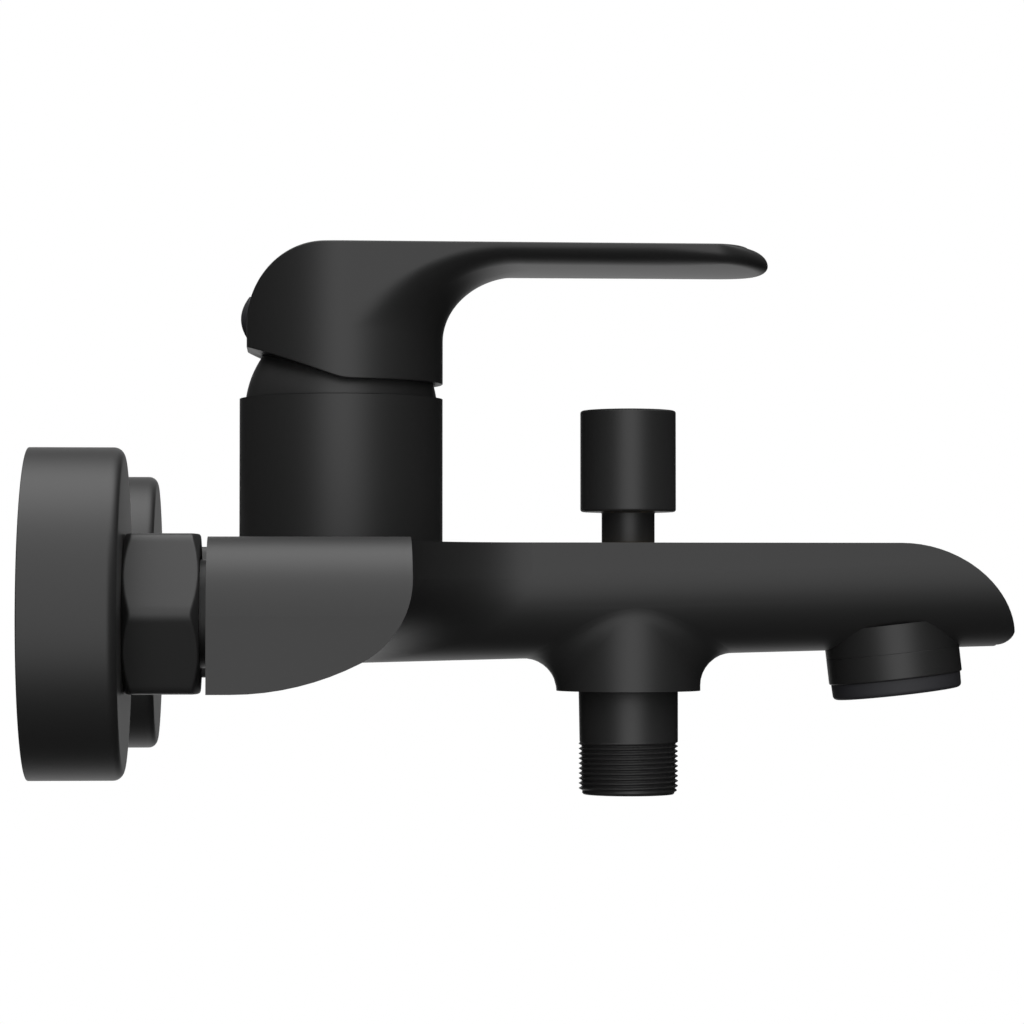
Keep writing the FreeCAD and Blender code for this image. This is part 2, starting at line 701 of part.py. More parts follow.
def inlet_nipple(side, inlet_y):
    """The stub screwed into the arm, with the collar that the nut pulls on."""
    stub = turned(f"nipple_{side}", [
        ("nipple_bore", "washer_end"),
        ("union_thread_radius - free_gap", "washer_end"),
        ("union_thread_radius - free_gap", "nut_front - nut_lip"),
        ("neck_radius", "nut_front - nut_lip"),
        ("neck_radius", "arm_back"),
        ("nipple_thread_radius", "arm_back"),
        ("nipple_thread_radius", "nipple_end"),
        ("nipple_bore", "nipple_end")])
    node(place(stub, 0, inlet_y, 0, ALONG_X), f"inlet_nipple_{side}")
    washer = tube(f"washer_{side}", "union_thread_radius - free_gap", "nipple_bore",
                  "union_face", "washer_end")
    node(place(washer, 0, inlet_y, 0, ALONG_X), f"inlet_washer_{side}")
    screen = turned(f"filter_{side}", [
        ("nipple_bore", "washer_end"),
        ("nipple_bore", "nipple_end - filter_taper"),
        ("nipple_bore - filter_taper", "nipple_end"),
        ("0", "nipple_end"),
        ("0", "nipple_end - filter_wall"),
        ("nipple_bore - filter_taper - filter_wall / 2", "nipple_end - filter_wall"),
        ("nipple_bore - filter_wall", "nipple_end - filter_taper - filter_wall / 2"),
        ("nipple_bore - filter_wall", "washer_end")])
    node(place(screen, 0, inlet_y, 0, ALONG_X), f"inlet_filter_{side}")


# --- cartridge -------------------------------------------------------------------------------------
def on_cartridge(item):
    """Moves a piece drawn about the origin to the cartridge's axis."""
    return place(item, "cartridge_x")


def port_holes(name, bottom, top, radius="port_radius"):
    """The three waterways through a plate of the cartridge."""
    centres = [("inlet_port_x", "-port_side"), ("inlet_port_x", "port_side"), ("outlet_port_x", "0")]
    return [rod(f"{name}_{index}", radius, bottom, top, *centre)
            for index, centre in enumerate(centres)]


def cartridge():
    """The ceramic disc cartridge that stays still: base, seals, lower disc and shell."""
    base = rod("base_blank", "shell_radius", "cavity_floor", "base_top", "cartridge_x")
    seats = port_holes("seal_seat", "cavity_floor - past", "cavity_floor + seal_height",
                       "port_radius + seal_wall")
    holes = port_holes("base_port", "cavity_floor - past", "base_top + past")
    node(cut("base", base, seats + holes), "cartridge_base")
    rings = port_holes("seal_ring", "cavity_floor", "cavity_floor + seal_height", "port_radius + seal_wall")
    ways = port_holes("seal_way", "cavity_floor - past", "cavity_floor + seal_height + past")
    node(cut("seals", group("seal_rings", rings), ways), "cartridge_seals")
    disc = rod("lower_disc", "shell_bore", "base_top", "fixed_disc_top", "cartridge_x")
    ways = port_holes("disc_port", "base_top - past", "fixed_disc_top + past")
    node(cut("lower", disc, ways), "fixed_disc")
    node(on_cartridge(turned("shell", [
        ("shell_bore", "base_top"),
        ("shell_radius", "base_top"),
        ("shell_radius", "shell_top"),
        ("guide_neck_radius + running_gap", "shell_top"),
        ("guide_neck_radius + running_gap", "shell_top_bottom"),
        ("shell_bore", "shell_top_bottom")])), "cartridge_shell")
    node(on_cartridge(tube("nut_ring", "collar_thread_radius - thread_gap",
                           "guide_neck_radius + nut_ring_gap", "shell_top", "nut_ring_top")), "retaining_nut")


def moving_discs():
    """The upper ceramic disc and its carrier, which the spindle's ball pushes along the spout."""
    plate = rod("upper_disc", "moving_disc_radius", "moving_disc_bottom", "carrier_bottom", "disc_rest_x")
    pocket = rod("mixing_pocket", "moving_disc_radius - pocket_wall", "moving_disc_bottom - past",
                 "moving_disc_bottom + disc_height / 2", "disc_rest_x")
    node(cut("upper", plate, [pocket]), "moving_disc")
    block = rod("carrier_blank", "moving_disc_radius", "carrier_bottom", "carrier_top", "disc_rest_x")
    socket = rod("ball_socket", "ball_radius + free_gap", "ball_height - ball_radius - socket_depth",
                 "carrier_top + past", "cartridge_x")
    node(cut("carrier", block, [socket]), "disc_carrier")


def spindle_guide():
    """The turning holder of the spindle, slotted fore and aft, with the pin that the spindle rocks on."""
    holder = on_cartridge(turned("holder", [
        ("0", "guide_bottom"), ("guide_disc_radius", "guide_bottom"),
        ("guide_disc_radius", "guide_disc_top"), ("guide_neck_radius", "guide_disc_top"),
        ("guide_neck_radius", "guide_top"), ("0", "guide_top")]))
    half_wide = "spindle_wide / 2 + free_gap"
    slot = box("holder_slot",
               ("cartridge_x - spindle_long / 2 - slot_back", f"-({half_wide})", "guide_bottom - past"),
               ("cartridge_x + spindle_long / 2 + slot_front", half_wide, "guide_top + past"))
    pin_hole = rod("holder_pin_hole", "pin_radius", "-guide_neck_radius - past", "guide_neck_radius + past",
                   "cartridge_x", 0, "pivot_height", ALONG_Y)
    node(cut("guide", holder, [slot, pin_hole]), "spindle_guide")
    node(rod("pin", "pin_radius", "pin_set_in - guide_neck_radius", "guide_neck_radius - pin_set_in",
             "cartridge_x", 0, "pivot_height", ALONG_Y), "pivot_pin")


# --- lever -----------------------------------------------------------------------------------------
def lever_spindle():
    """The flat-sided spindle: its upper end holds the lever and its ball moves the disc."""
    bar = box("spindle_bar",
              ("cartridge_x - spindle_long / 2", "-spindle_wide / 2", "pivot_height - spindle_foot"),
              ("cartridge_x + spindle_long / 2", "spindle_wide / 2", "spindle_top"))
    stem = rod("spindle_stem", "ball_radius - stem_step", "ball_height", "pivot_height", "cartridge_x")
    tip = ball("spindle_ball", "ball_radius", "cartridge_x", 0, "ball_height")
    hole = rod("spindle_pin_hole", "pin_radius + running_gap", "-spindle_wide", "spindle_wide",
               "cartridge_x", 0, "pivot_height", ALONG_Y)
    node(cut("spindle", fuse("spindle_blank", [bar, stem, tip]), [hole]), "lever_spindle")


def under_paddle(edge):
    """The long lower edges of the paddle, from the hub's throat to the rounded tip."""
    points = edge_points(edge)
    level = all(near(point.z, "paddle_bottom") for point in points)
    clear = all(point.x > number("lever_front + lever_throat") - CLOSE for point in points)
    along = edge.Length > number("lever_half_width") / 4
    across = abs(points[0].x - points[2].x) < CLOSE and near(points[0].x, "lever_front + lever_throat")
    return level and clear and along and not across


def lever():
    """A round hub over the cartridge that carries a flat paddle out over the spout."""
    plan = prism("lever_plan", UPRIGHT, [
        ("cartridge_x", "-housing_radius", "housing_radius", 1),
        ("paddle_end", "-lever_half_width"),
        ("corner_x", "-corner_y", "lever_corner_radius", 1),
        ("corner_x", "corner_y", "lever_end_radius", 1),
        ("paddle_end", "lever_half_width", "lever_corner_radius", 1),
        ("cartridge_x", "housing_radius"),
        ("cartridge_x - housing_radius", "0", "housing_radius", 1)], "lever_top + past")
    side = prism("lever_side", SIDE_VIEW, [
        ("lever_back", "lever_cut_z"),
        ("cartridge_x", "lever_bottom"),
        ("lever_front", "lever_bottom"),
        ("lever_front", "paddle_bottom - lever_throat"),
        ("lever_front + lever_throat", "paddle_bottom", "lever_throat", -1),
        ("lever_tip + past", "paddle_bottom"),
        ("lever_tip + past", "lever_top"),
        ("lever_round_x", "lever_top"),
        ("lever_back", "lever_round_z", "lever_back_round", 1)], "housing_radius + past")
    blank = common("lever_blank", [plan, side])
    rounded = fillet("lever_rounded", blank, "paddle_round", under_paddle)
    hollow = cut("lever_hollow_blank", ball("lever_cavity", "lever_bore", "cartridge_x", 0, "pivot_height"),
                 [rod("lever_boss", "boss_radius", "boss_bottom", "lever_top", "cartridge_x")])
    socket = box("lever_socket",
                 ("cartridge_x - spindle_long / 2", "-spindle_wide / 2", "boss_bottom - past"),
                 ("cartridge_x + spindle_long / 2", "spindle_wide / 2", "spindle_top"))
    screw_hole = rod("lever_screw_hole", "screw_radius", "lever_back - past", "cartridge_x",
                     0, 0, "screw_height", ALONG_X)
    node(cut("lever_solid", rounded, [hollow, socket, screw_hole]), "lever")


def lever_screw():
    """The socket set screw that clamps the lever to the spindle, and the button that covers it."""
    end = "cartridge_x - spindle_long / 2"
    screw = rod("screw_blank", "screw_radius", f"{end} - screw_length", end, 0, 0, "screw_height", ALONG_X)
    socket = doc.addObject("Part::Prism", "screw_socket")
    socket.Polygon = 6
    socket.setExpression("Circumradius", ex("screw_hex / sqrt(3)"))
    socket.setExpression("Height", ex("screw_length / 2 + past"))
    place(socket, f"{end} - screw_length - past", 0, "screw_height", ALONG_X)
    node(cut("screw", screw, [socket]), "lever_screw")
    cap = turned("screw_cap", [
        ("0", "-plug_proud"), ("plug_radius", "0", "plug_cap_round", 1),
        ("screw_radius", "0"), ("screw_radius", "plug_shank"), ("0", "plug_shank")])
    node(place(cap, "lever_back", 0, "screw_height", ALONG_X), "screw_cover")


def dome():
    """The fixed dome over the cartridge, open at the top for the spindle."""
    ball_shape = ball("dome_outside", "dome_radius", "cartridge_x", 0, "pivot_height")
    keep = rod("dome_band", "dome_radius + past", "housing_top", "dome_top", "cartridge_x")
    skirt = rod("dome_skirt", "collar_thread_radius - thread_gap", "nut_ring_top", "housing_top + past",
                "cartridge_x")
    inside = ball("dome_inside", "dome_radius - dome_wall", "cartridge_x", 0, "pivot_height")
    throat = rod("dome_throat", "dome_throat_radius", "nut_ring_top - past", "pivot_height + past",
                 "cartridge_x")
    blank = fuse("dome_blank", [common("dome_cap", [ball_shape, keep]), skirt])
    node(cut("dome", blank, [inside, throat]), "dome_cover")


# --- diverter --------------------------------------------------------------------------------------
def on_diverter(item):
    """Moves a piece drawn about the origin to the diverter's axis."""
    return place(item, "diverter_x")


def diverter():
    """The pull-up diverter: knob, rod, piston and seals, with the gland that guides them."""
    node(on_diverter(turned("knob", [
        ("rod_radius", "arm_top + knob_gap"),
        ("knob_neck_radius", "arm_top + knob_gap"),
        ("knob_neck_radius", "knob_bottom"),
        ("knob_radius - knob_edge", "knob_bottom"),
        ("knob_radius", "knob_bottom + knob_edge"),
        ("knob_radius", "knob_top - knob_edge"),
        ("knob_radius - knob_edge", "knob_top"),
        ("0", "knob_top"),
        ("0", "rod_top"),
        ("rod_radius", "rod_top")])), "diverter_knob")
    node(rod("valve_rod", "rod_radius", "piston_bottom - clip_height - past", "rod_top", "diverter_x"),
         "diverter_rod")
    node(on_diverter(turned("gland", [
        ("rod_radius + running_gap", "gland_bottom"),
        ("gland_radius", "gland_bottom"),
        ("gland_radius", "gland_top"),
        ("gland_ring_radius", "gland_top"),
        ("gland_ring_radius", "gland_top - oring_wire"),
        ("rod_radius + running_gap", "gland_top - oring_wire")])), "diverter_gland")
    node(on_diverter(tube("gland_ring", "gland_ring_radius", "rod_radius + running_gap",
                          "gland_top - oring_wire", "gland_top")), "gland_oring")
    layers = ("diverter_seal_lower", "diverter_piston", "diverter_seal_upper")
    for index, name in enumerate(layers):
        low = f"piston_bottom + {index} * piston_height"
        layer = tube(f"stack_{index}", "piston_radius", "rod_radius", low, f"{low} + piston_height")
        node(on_diverter(layer), name)
    node(on_diverter(tube("clip", "clip_radius", "rod_radius", "piston_bottom - clip_height",
                          "piston_bottom")), "diverter_clip")
    coil = spring("valve_spring", "valve_spring_radius", "valve_spring_wire", "piston_top", "gland_bottom",
                  "valve_spring_turns")
    node(place(coil, "diverter_x", 0, "piston_top + valve_spring_wire / 2"), "diverter_spring")


# --- shower outlet ---------------------------------------------------------------------------------
def shower_outlet():
    """The threaded shower connection screwed into the skirt, with its check valve."""
    node(on_diverter(turned("outlet", [
        ("outlet_bore", "outlet_top"),
        ("outlet_body_radius", "outlet_top"),
        ("outlet_body_radius", "skirt_bottom"),
        ("wall_thread_radius", "skirt_bottom"),
        ("wall_thread_radius", "outlet_bottom + outlet_chamfer"),
        ("wall_thread_radius - outlet_chamfer", "outlet_bottom"),
        ("outlet_bore", "outlet_bottom")])), "shower_outlet")
    node(on_diverter(turned("check_cage", [
        ("check_lip_bore", "check_top"),
        ("outlet_bore - thread_gap", "check_top"),
        ("outlet_bore - thread_gap", "check_bottom"),
        ("check_bore", "check_bottom"),
        ("check_bore", "poppet_top"),
        ("check_lip_bore", "poppet_top")])), "check_valve_cage")
    hub = rod("spider_hub", "poppet_stem + spider_arm", "check_bottom", "spider_top", "diverter_x")
    arms = []
    for index in range(2):
        arm = doc.addObject("Part::Box", f"spider_arm_{index}")
        arm.setExpression("Length", ex("2 * check_bore"))
        arm.setExpression("Width", ex("spider_arm"))
        arm.setExpression("Height", ex("check_lip"))
        turn = FreeCAD.Rotation(Z_AXIS, 90 * index)
        if index == 0:
            place(arm, "diverter_x - check_bore", "-spider_arm / 2", "check_bottom", turn)
        else:
            place(arm, "diverter_x + spider_arm / 2", "-check_bore", "check_bottom", turn)
        arms.append(arm)
    stem_hole = rod("spider_hole", "poppet_stem + running_gap", "check_bottom - past", "spider_top + past",
                    "diverter_x")
    edge = rod("spider_edge", "check_bore", "check_bottom", "spider_top", "diverter_x")
    star = common("spider_star", [fuse("spider_arms", arms + [hub]), edge])
    node(cut("spider", star, [stem_hole]), "check_valve_spider")
    node(on_diverter(turned("poppet", [
        ("0", "poppet_top - poppet_gap"),
        ("poppet_radius", "poppet_top - poppet_gap"),
        ("poppet_radius", "poppet_bottom"),
        ("poppet_stem", "poppet_bottom"),
        ("poppet_stem", "check_bottom + stem_short"),
        ("0", "check_bottom + stem_short")])), "check_valve_poppet")
    coil = spring("poppet_spring", "check_spring_radius", "check_spring_wire", "spider_top", "poppet_bottom",
                  "check_spring_turns")
    node(place(coil, "diverter_x", 0, "spider_top + check_spring_wire / 2"), "check_valve_spring")


# --- spout outlet ----------------------------------------------------------------------------------
def aerator():
    """The spout outlet: a ring screwed into the boss, with an insert, a screen and a washer."""
    node(on_aerator(turned("outlet_ring", [
        ("aerator_bore", "ring_bottom"),
        ("aerator_radius", "ring_bottom"),
        ("aerator_radius", "aerator_joint"),
        ("aerator_thread_radius", "aerator_joint"),
        ("aerator_thread_radius", "ring_top"),
        ("aerator_bore", "ring_top")])), "aerator_ring")
    node(on_aerator(turned("insert", [
        ("aerator_bore - screen_frame", "insert_bottom"),
        ("aerator_insert_radius - insert_edge", "insert_bottom"),
        ("aerator_insert_radius", "insert_bottom + insert_edge"),
        ("aerator_insert_radius", "ring_bottom"),
        ("aerator_bore", "ring_bottom"),
        ("aerator_bore", "aerator_joint"),
        ("aerator_bore - screen_frame", "aerator_joint")])), "aerator_insert")
    plate = turned("screen_plate", [
        ("0", "screen_bottom"), ("aerator_bore - screen_frame", "screen_bottom"),
        ("aerator_bore - screen_frame", "screen_bottom + screen_height"),
        ("0", "screen_bottom + screen_height")])
    low, high = "screen_bottom - past", "screen_bottom + screen_height + past"
    spots = [rod("screen_hole_0", "screen_hole", low, high)]
    for ring in (1, 2, 3):
        for step in range(6 * ring):
            angle = 360 / (6 * ring) * step
            across = f"{ring} * screen_pitch * cos({angle})"
            along = f"{ring} * screen_pitch * sin({angle})"
            spots.append(rod(f"screen_hole_{len(spots)}", "screen_hole", low, high, across, along))
    node(on_aerator(cut("screen", plate, spots)), "aerator_screen")
    node(on_aerator(tube("washer", "aerator_thread_radius", "aerator_thread_radius - washer_wall",
                         "ring_top", "aerator_thread_top")), "aerator_washer")


main_body()
for side_name, inlet in (("hot", "-inlet_y"), ("cold", "inlet_y")):
    wall_flange(side_name, inlet)
    wall_union(side_name, inlet)
    union_nut(side_name, inlet)
    inlet_nipple(side_name, inlet)
cartridge()
moving_discs()
spindle_guide()
lever()
lever_spindle()
lever_screw()
dome()
diverter()
shower_outlet()
aerator()
doc.recompute()

faults = [item.Label for item in doc.Objects if "Invalid" in item.State or "Error" in item.State]
for part in NODES:
    if part.Shape.isNull() or not part.Shape.isValid() or not part.Shape.Solids:
        faults.append(part.Label + " has no sound solid")
if faults:
    raise SystemExit("not written, because of: " + ", ".join(faults))
os.makedirs("parts", exist_ok=True)
for part in NODES:
    part.Shape.exportStep(f"parts/{part.Label}.step")
    solids = part.Shape.Solids
    print(f"{part.Label:24s} {len(solids)} solids {part.Shape.Volume / 1000:8.3f} cm3")
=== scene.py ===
"""A wall mounted single lever bath mixer in satin black, dressed for a product picture.

Lengths inside the classes are in millimetres and become metres where a mesh is made. The frame is the
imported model's: +X out of the wall along the spout, +Z up, and the origin on the wall plane midway
between the two inlets. Each sub-assembly is a class that builds its own pieces and dresses them.
"""

import json
import logging
import math
from dataclasses import dataclass
from enum import Enum

import bpy
import numpy as np
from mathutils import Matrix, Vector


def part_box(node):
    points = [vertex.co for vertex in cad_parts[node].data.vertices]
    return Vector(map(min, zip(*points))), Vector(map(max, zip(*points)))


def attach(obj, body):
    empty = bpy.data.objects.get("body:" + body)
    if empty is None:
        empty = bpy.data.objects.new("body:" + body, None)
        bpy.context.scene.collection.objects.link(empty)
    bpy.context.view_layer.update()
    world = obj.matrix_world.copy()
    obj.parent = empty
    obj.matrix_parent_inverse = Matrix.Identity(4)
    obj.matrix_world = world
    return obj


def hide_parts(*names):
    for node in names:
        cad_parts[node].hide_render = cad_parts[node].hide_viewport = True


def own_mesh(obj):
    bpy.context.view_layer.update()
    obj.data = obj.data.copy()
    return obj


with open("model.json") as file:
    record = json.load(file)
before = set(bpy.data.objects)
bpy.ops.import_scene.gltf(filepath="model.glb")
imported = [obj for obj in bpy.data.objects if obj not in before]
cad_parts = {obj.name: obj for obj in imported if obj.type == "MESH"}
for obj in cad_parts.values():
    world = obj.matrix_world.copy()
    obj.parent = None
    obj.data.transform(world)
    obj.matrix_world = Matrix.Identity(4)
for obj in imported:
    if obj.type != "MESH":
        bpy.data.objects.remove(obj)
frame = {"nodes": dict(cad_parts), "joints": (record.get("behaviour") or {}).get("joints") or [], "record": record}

LOG = logging.getLogger("bath_mixer")
MM = 0.001
TURN = 2 * math.pi
QUARTER = math.pi / 2
WHITE = (1.0, 1.0, 1.0, 1.0)
RUN_SHARE = 0.49  # most of a straight run that one rounding may take up
SUPPORT_SHARE = 0.499  # the same for a rounding and its supporting point
SUPPORT = 0.12  # millimetres from a rounding to its supporting point
SHORT_STEP = 0.03  # millimetres; a bend between shorter steps counts for less
Array = np.ndarray
Shape = bpy.types.Object
Tree = bpy.types.NodeTree
Node = bpy.types.Node
Socket = bpy.types.NodeSocket
Pair = tuple[float, float]
Triple = tuple[float, float, float]
Inputs = dict[str | int, object]


# --- surfaces ---
def skin(name: str, grid: Array, ring: bool = False) -> Shape:
    """Makes a closed piece from a grid of points whose columns run round it.

    Neighbouring rows and columns are joined by quads and the last column joins the first. Either the last
    row joins the first too, or a fan from the mean of each end row closes it. The enclosed volume, a sum
    of triple products, decides which way the faces turn, so that they point outwards.

    Args:
        name: the piece's name.
        grid: rows by columns by three, in millimetres.
        ring: joins the last row to the first instead of closing the ends.

    Returns:
        The new object, at the origin, with its place in its mesh.
    """
    rows, columns = grid.shape[:2]
    index = np.arange(rows * columns).reshape(rows, columns)
    upper, lower = (index, np.roll(index, -1, axis=0)) if ring else (index[:-1], index[1:])
    quads = np.stack([upper, np.roll(upper, -1, 1), np.roll(lower, -1, 1), lower], axis=-1).reshape(-1, 4)
    points, parts = [grid.reshape(-1, 3)], [quads]
    if not ring:
        for pole, row, shifts in ((0, 0, (-1, 0)), (1, -1, (0, -1))):
            centre = np.full(columns, rows * columns + pole)
            points.append(grid[row].mean(axis=0, keepdims=True))
            parts.append(np.stack([centre, *(np.roll(index[row], shift) for shift in shifts)], axis=-1))
    vertices = np.concatenate(points) * MM
    triangles = np.concatenate([quads[:, [0, 1, 2]], quads[:, [0, 2, 3]], *parts[1:]])
    a, b, c = (vertices[triangles[:, k]] for k in range(3))
    turn = -1 if np.einsum("ij,ij->i", a, np.cross(b, c)).sum() < 0 else 1
    return mesh_piece(name, vertices, [face for part in parts for face in part[:, ::turn].tolist()])


def mesh_piece(name: str, vertices: Array, faces: list[list[int]]) -> Shape:
    """Puts vertices and faces into a smooth shaded mesh object.

    Args:
        name: the piece's name.
        vertices: points by three, in metres.
        faces: the vertex numbers of each face.

    Returns:
        The new object.
    """
    mesh = bpy.data.meshes.new(name)
    mesh.from_pydata(vertices.tolist(), [], faces)
    mesh.polygons.foreach_set("use_smooth", np.ones(len(faces), bool))
    mesh.validate()
    piece = bpy.data.objects.new(name, mesh)
    bpy.context.scene.collection.objects.link(piece)
    return piece


def rounded(corners: list[Triple], steps: int = 8, closed: bool = False) -> Array:
    """The outline through corners, each rounded by an arc that touches both of its runs.

    At a corner where the run turns by an angle, the arc starts radius * tan(angle / 2) before it, and its
    centre lies on the line that halves the corner. A supporting point a little outside each end of the
    arc keeps the flat runs flat when the surface is shaded smooth.

    Args:
        corners: first coordinate, second coordinate and rounding radius of each corner.
        steps: straight lengths in each arc.
        closed: whether the last corner joins the first.

    Returns:
        Points by two.
    """
    table = np.array(corners, float)
    here = table[:, :2]
    runs_in = here - np.roll(here, 1, axis=0)
    runs_out = np.roll(here, -1, axis=0) - here
    long_in, long_out = (np.linalg.norm(run, axis=1, keepdims=True) for run in (runs_in, runs_out))
    along_in, along_out = runs_in / long_in, runs_out / long_out
    turn = np.arccos(np.clip((along_in * along_out).sum(1), -1, 1))[:, None]
    radius = np.minimum(table[:, 2:3], RUN_SHARE * np.minimum(long_in, long_out) / np.tan(turn / 2 + 1e-9))
    reach = radius * np.tan(turn / 2)
    halving = along_out - along_in
    halving /= np.linalg.norm(halving, axis=1, keepdims=True)
    centre = here + halving * radius / np.cos(turn / 2)
    first = here - along_in * reach - centre
    share = np.linspace(0, 1, steps + 1)[None, :] * turn
    arcs = (centre[:, None] + first[:, None] * np.cos(share)[..., None]
            + along_in[:, None] * (radius * np.sin(share))[..., None])
    before = here - along_in * np.minimum(reach + SUPPORT, SUPPORT_SHARE * long_in)
    after = here + along_out * np.minimum(reach + SUPPORT, SUPPORT_SHARE * long_out)
    outline = np.concatenate([before[:, None], arcs, after[:, None]], axis=1)
    if not closed:
        outline[0] = here[0]
        outline[-1] = here[-1]
    flat = outline.reshape(-1, 2)
    apart = np.linalg.norm(flat - np.roll(flat, 1, axis=0), axis=1) > 1e-4
    apart[0] |= not closed
    return flat[apart]


@dataclass(frozen=True)
class Axis:
    """A line that turned pieces are made round."""

    origin: Triple  # a point on it, in millimetres
    along: Triple  # its direction, of length 1
    across: Triple  # a direction square to it, where angles start

    def place(self, radius: Array, height: Array, angle: Array) -> Array:
        """Points round the axis, by the cosine and sine of their angles.

        Args:
            radius: distance of each point from the axis.
            height: distance of each point along it.
            angle: turn of each point from the direction across, in radians.

        Returns:
            The points, three coordinates for each entry of the arrays.
        """
        along, across = np.array(self.along), np.array(self.across)
        third = np.cross(along, across)
        ring = np.cos(angle)[..., None] * across + np.sin(angle)[..., None] * third
        return np.array(self.origin) + radius[..., None] * ring + height[..., None] * along


def upright(x: float) -> Axis:
    """An axis on the middle plane that points up."""
    return Axis((x, 0.0, 0.0), (0.0, 0.0, 1.0), (1.0, 0.0, 0.0))


def around(outline: Array, sides: int) -> tuple[Array, ...]:
    """The radius, the height and the angle of an outline's points, evenly spaced round an axis."""
    angle = np.broadcast_to(np.arange(sides) * TURN / sides, (len(outline), sides))
    return (*(np.broadcast_to(part[:, None], angle.shape) for part in outline.T[:2]), angle)


def turned(name: str, axis: Axis, outline: Array, sides: int = 160, ring: bool = True) -> Shape:
    """Turns an outline by radius and height round an axis; it is a closed loop, or ends in two poles."""
    return skin(name, axis.place(*around(outline, sides)), ring=ring)


def groove(height: Array, angle: Array, pitch: float) -> Array:
    """A thread's groove, 0 at the crest and 1 at the root: a wave of height / pitch less angle / turn."""
    return 0.5 - 0.5 * np.cos(TURN * (height / pitch - angle / TURN))


def wall_points(radius: float, low: float, high: float, gap: float) -> list[Triple]:
    """Unrounded points up a straight wall, a small gap apart, for a thread to be cut in."""
    return [(radius, height, 0.0) for height in np.linspace(low, high, int(abs(high - low) / gap) + 2)]


def ease(share: Array) -> Array:
    """A smooth step from 0 to 1: three times the share squared less twice its cube."""
    share = np.clip(share, 0, 1)
    return share * share * (3 - 2 * share)


def coil(name: str, node: str, joint: str, radius: float, thick: float) -> tuple[Shape, float, float]:
    """A compression spring: a round wire carried along a helix whose end turns lie nearly flat.

    The centre line's angle grows evenly. Its height is 0.12 of an even climb and 0.88 of a climb between
    the end turns, which is itself one quarter smooth step and three quarters even. The wire's circle
    lies in the plane of the axis and the radius.

    Args:
        name: the piece's name.
        node: the CAD spring, which gives the place and the height.
        joint: the joint that closes the spring.
        radius: of the centre line.
        thick: diameter of the wire.

    Returns:
        The piece, the place of its axis along X, and the share of its height left at the joint's limit.
    """
    low, high = span(node)
    tall, centre = high[2] - low[2], (low[0] + high[0]) / 2
    turns, end = 6.0, 0.8
    share = np.linspace(0, 1, int(turns * 36))
    climb = np.clip((share * turns - end) / (turns - 2 * end), 0, 1)
    climb = 0.12 * share + 0.88 * (0.25 * ease(climb) + 0.75 * climb)
    angle = share[:, None] * turns * TURN
    circle = np.arange(14)[None, :] * TURN / 14
    away = radius + thick / 2 * np.cos(circle) * np.ones_like(angle)
    height = low[2] + thick / 2 + (tall - thick) * climb[:, None] + thick / 2 * np.sin(circle)
    piece = skin(name, upright(centre).place(away, height, np.broadcast_to(angle, away.shape)))
    fit(piece, "faucet_body", node, finish=Finishes.STAINLESS)
    travel = next(entry["range_m"][1] for entry in frame["joints"] if entry["name"] == joint)
    return piece, centre, 1 - travel / MM / tall


def smooth_min(a: Array, b: Array, blend: float) -> Array:
    """The lesser of two values, with the corner between them rounded over a blend width."""
    share = np.clip(0.5 + (b - a) / (2 * blend), 0, 1)
    return b + (a - b) * share - blend * share * (1 - share)


def lifted(flat: Array, height: Array) -> Array:
    """Points by three from points by two, seen from above, and their heights."""
    return np.concatenate([flat, height[..., None]], axis=-1)


def spread(path: Array, count: int, bend: float) -> Array:
    """Spaces points evenly along many paths at once.

    The measure along a path is its length plus a share of the angle it has turned through, so that bends
    get more points; each new point is found between its two neighbours by straight interpolation.

    Args:
        path: columns by points by coordinates.
        count: points wanted on each path.
        bend: millimetres that one radian of turning counts for.

    Returns:
        Columns by count by coordinates.
    """
    step = np.diff(path, axis=1)
    length = np.linalg.norm(step, axis=2)
    way = step / np.maximum(length, 1e-6)[..., None]
    turn = np.arccos(np.clip((way[:, 1:] * way[:, :-1]).sum(2), -1, 1))
    turn *= np.clip(np.minimum(length[:, 1:], length[:, :-1]) / SHORT_STEP, 0, 1)
    measure = length.copy()
    measure[:, 1:] += bend * turn
    total = np.concatenate([np.zeros((len(path), 1)), np.cumsum(measure, axis=1)], axis=1)
    total /= total[:, -1:]
    target = np.linspace(0, 1, count)
    slot = (total[:, None, :] < target[None, :, None] - 1e-12).sum(2)
    slot = np.clip(slot, 1, path.shape[1] - 1)
    low, high = (np.take_along_axis(total, slot - shift, 1) for shift in (1, 0))
    share = np.clip((target[None] - low) / np.maximum(high - low, 1e-9), 0, 1)[..., None]
    start, end = (np.take_along_axis(path, (slot - shift)[..., None], 1) for shift in (1, 0))
    return start + (end - start) * share


# --- nodes and finishes ---
def wire(tree: Tree, node: Node, inputs: Inputs) -> Node:
    """Fills a node's inputs: a socket is linked and any other value is set.

    Args:
        tree: the node tree.
        node: the node.
        inputs: each input's name or number and what goes into it.

    Returns:
        The same node.
    """
    for key, value in inputs.items():
        if isinstance(value, Socket):
            tree.links.new(value, node.inputs[key])
        else:
            node.inputs[key].default_value = value
    return node


def worked(tree: Tree, kind: str, output: str | int, inputs: Inputs, **choices: str) -> Socket:
    """Adds a node and gives one of its outputs.

    Args:
        tree: the node tree.
        kind: the kind of shader node.
        output: the name or number of the output.
        inputs: each input's name or number and what goes into it.
        choices: settings of the node itself.

    Returns:
        The output.
    """
    node = tree.nodes.new("ShaderNode" + kind)
    for name, choice in choices.items():
        setattr(node, name, choice)
    return wire(tree, node, inputs).outputs[output]


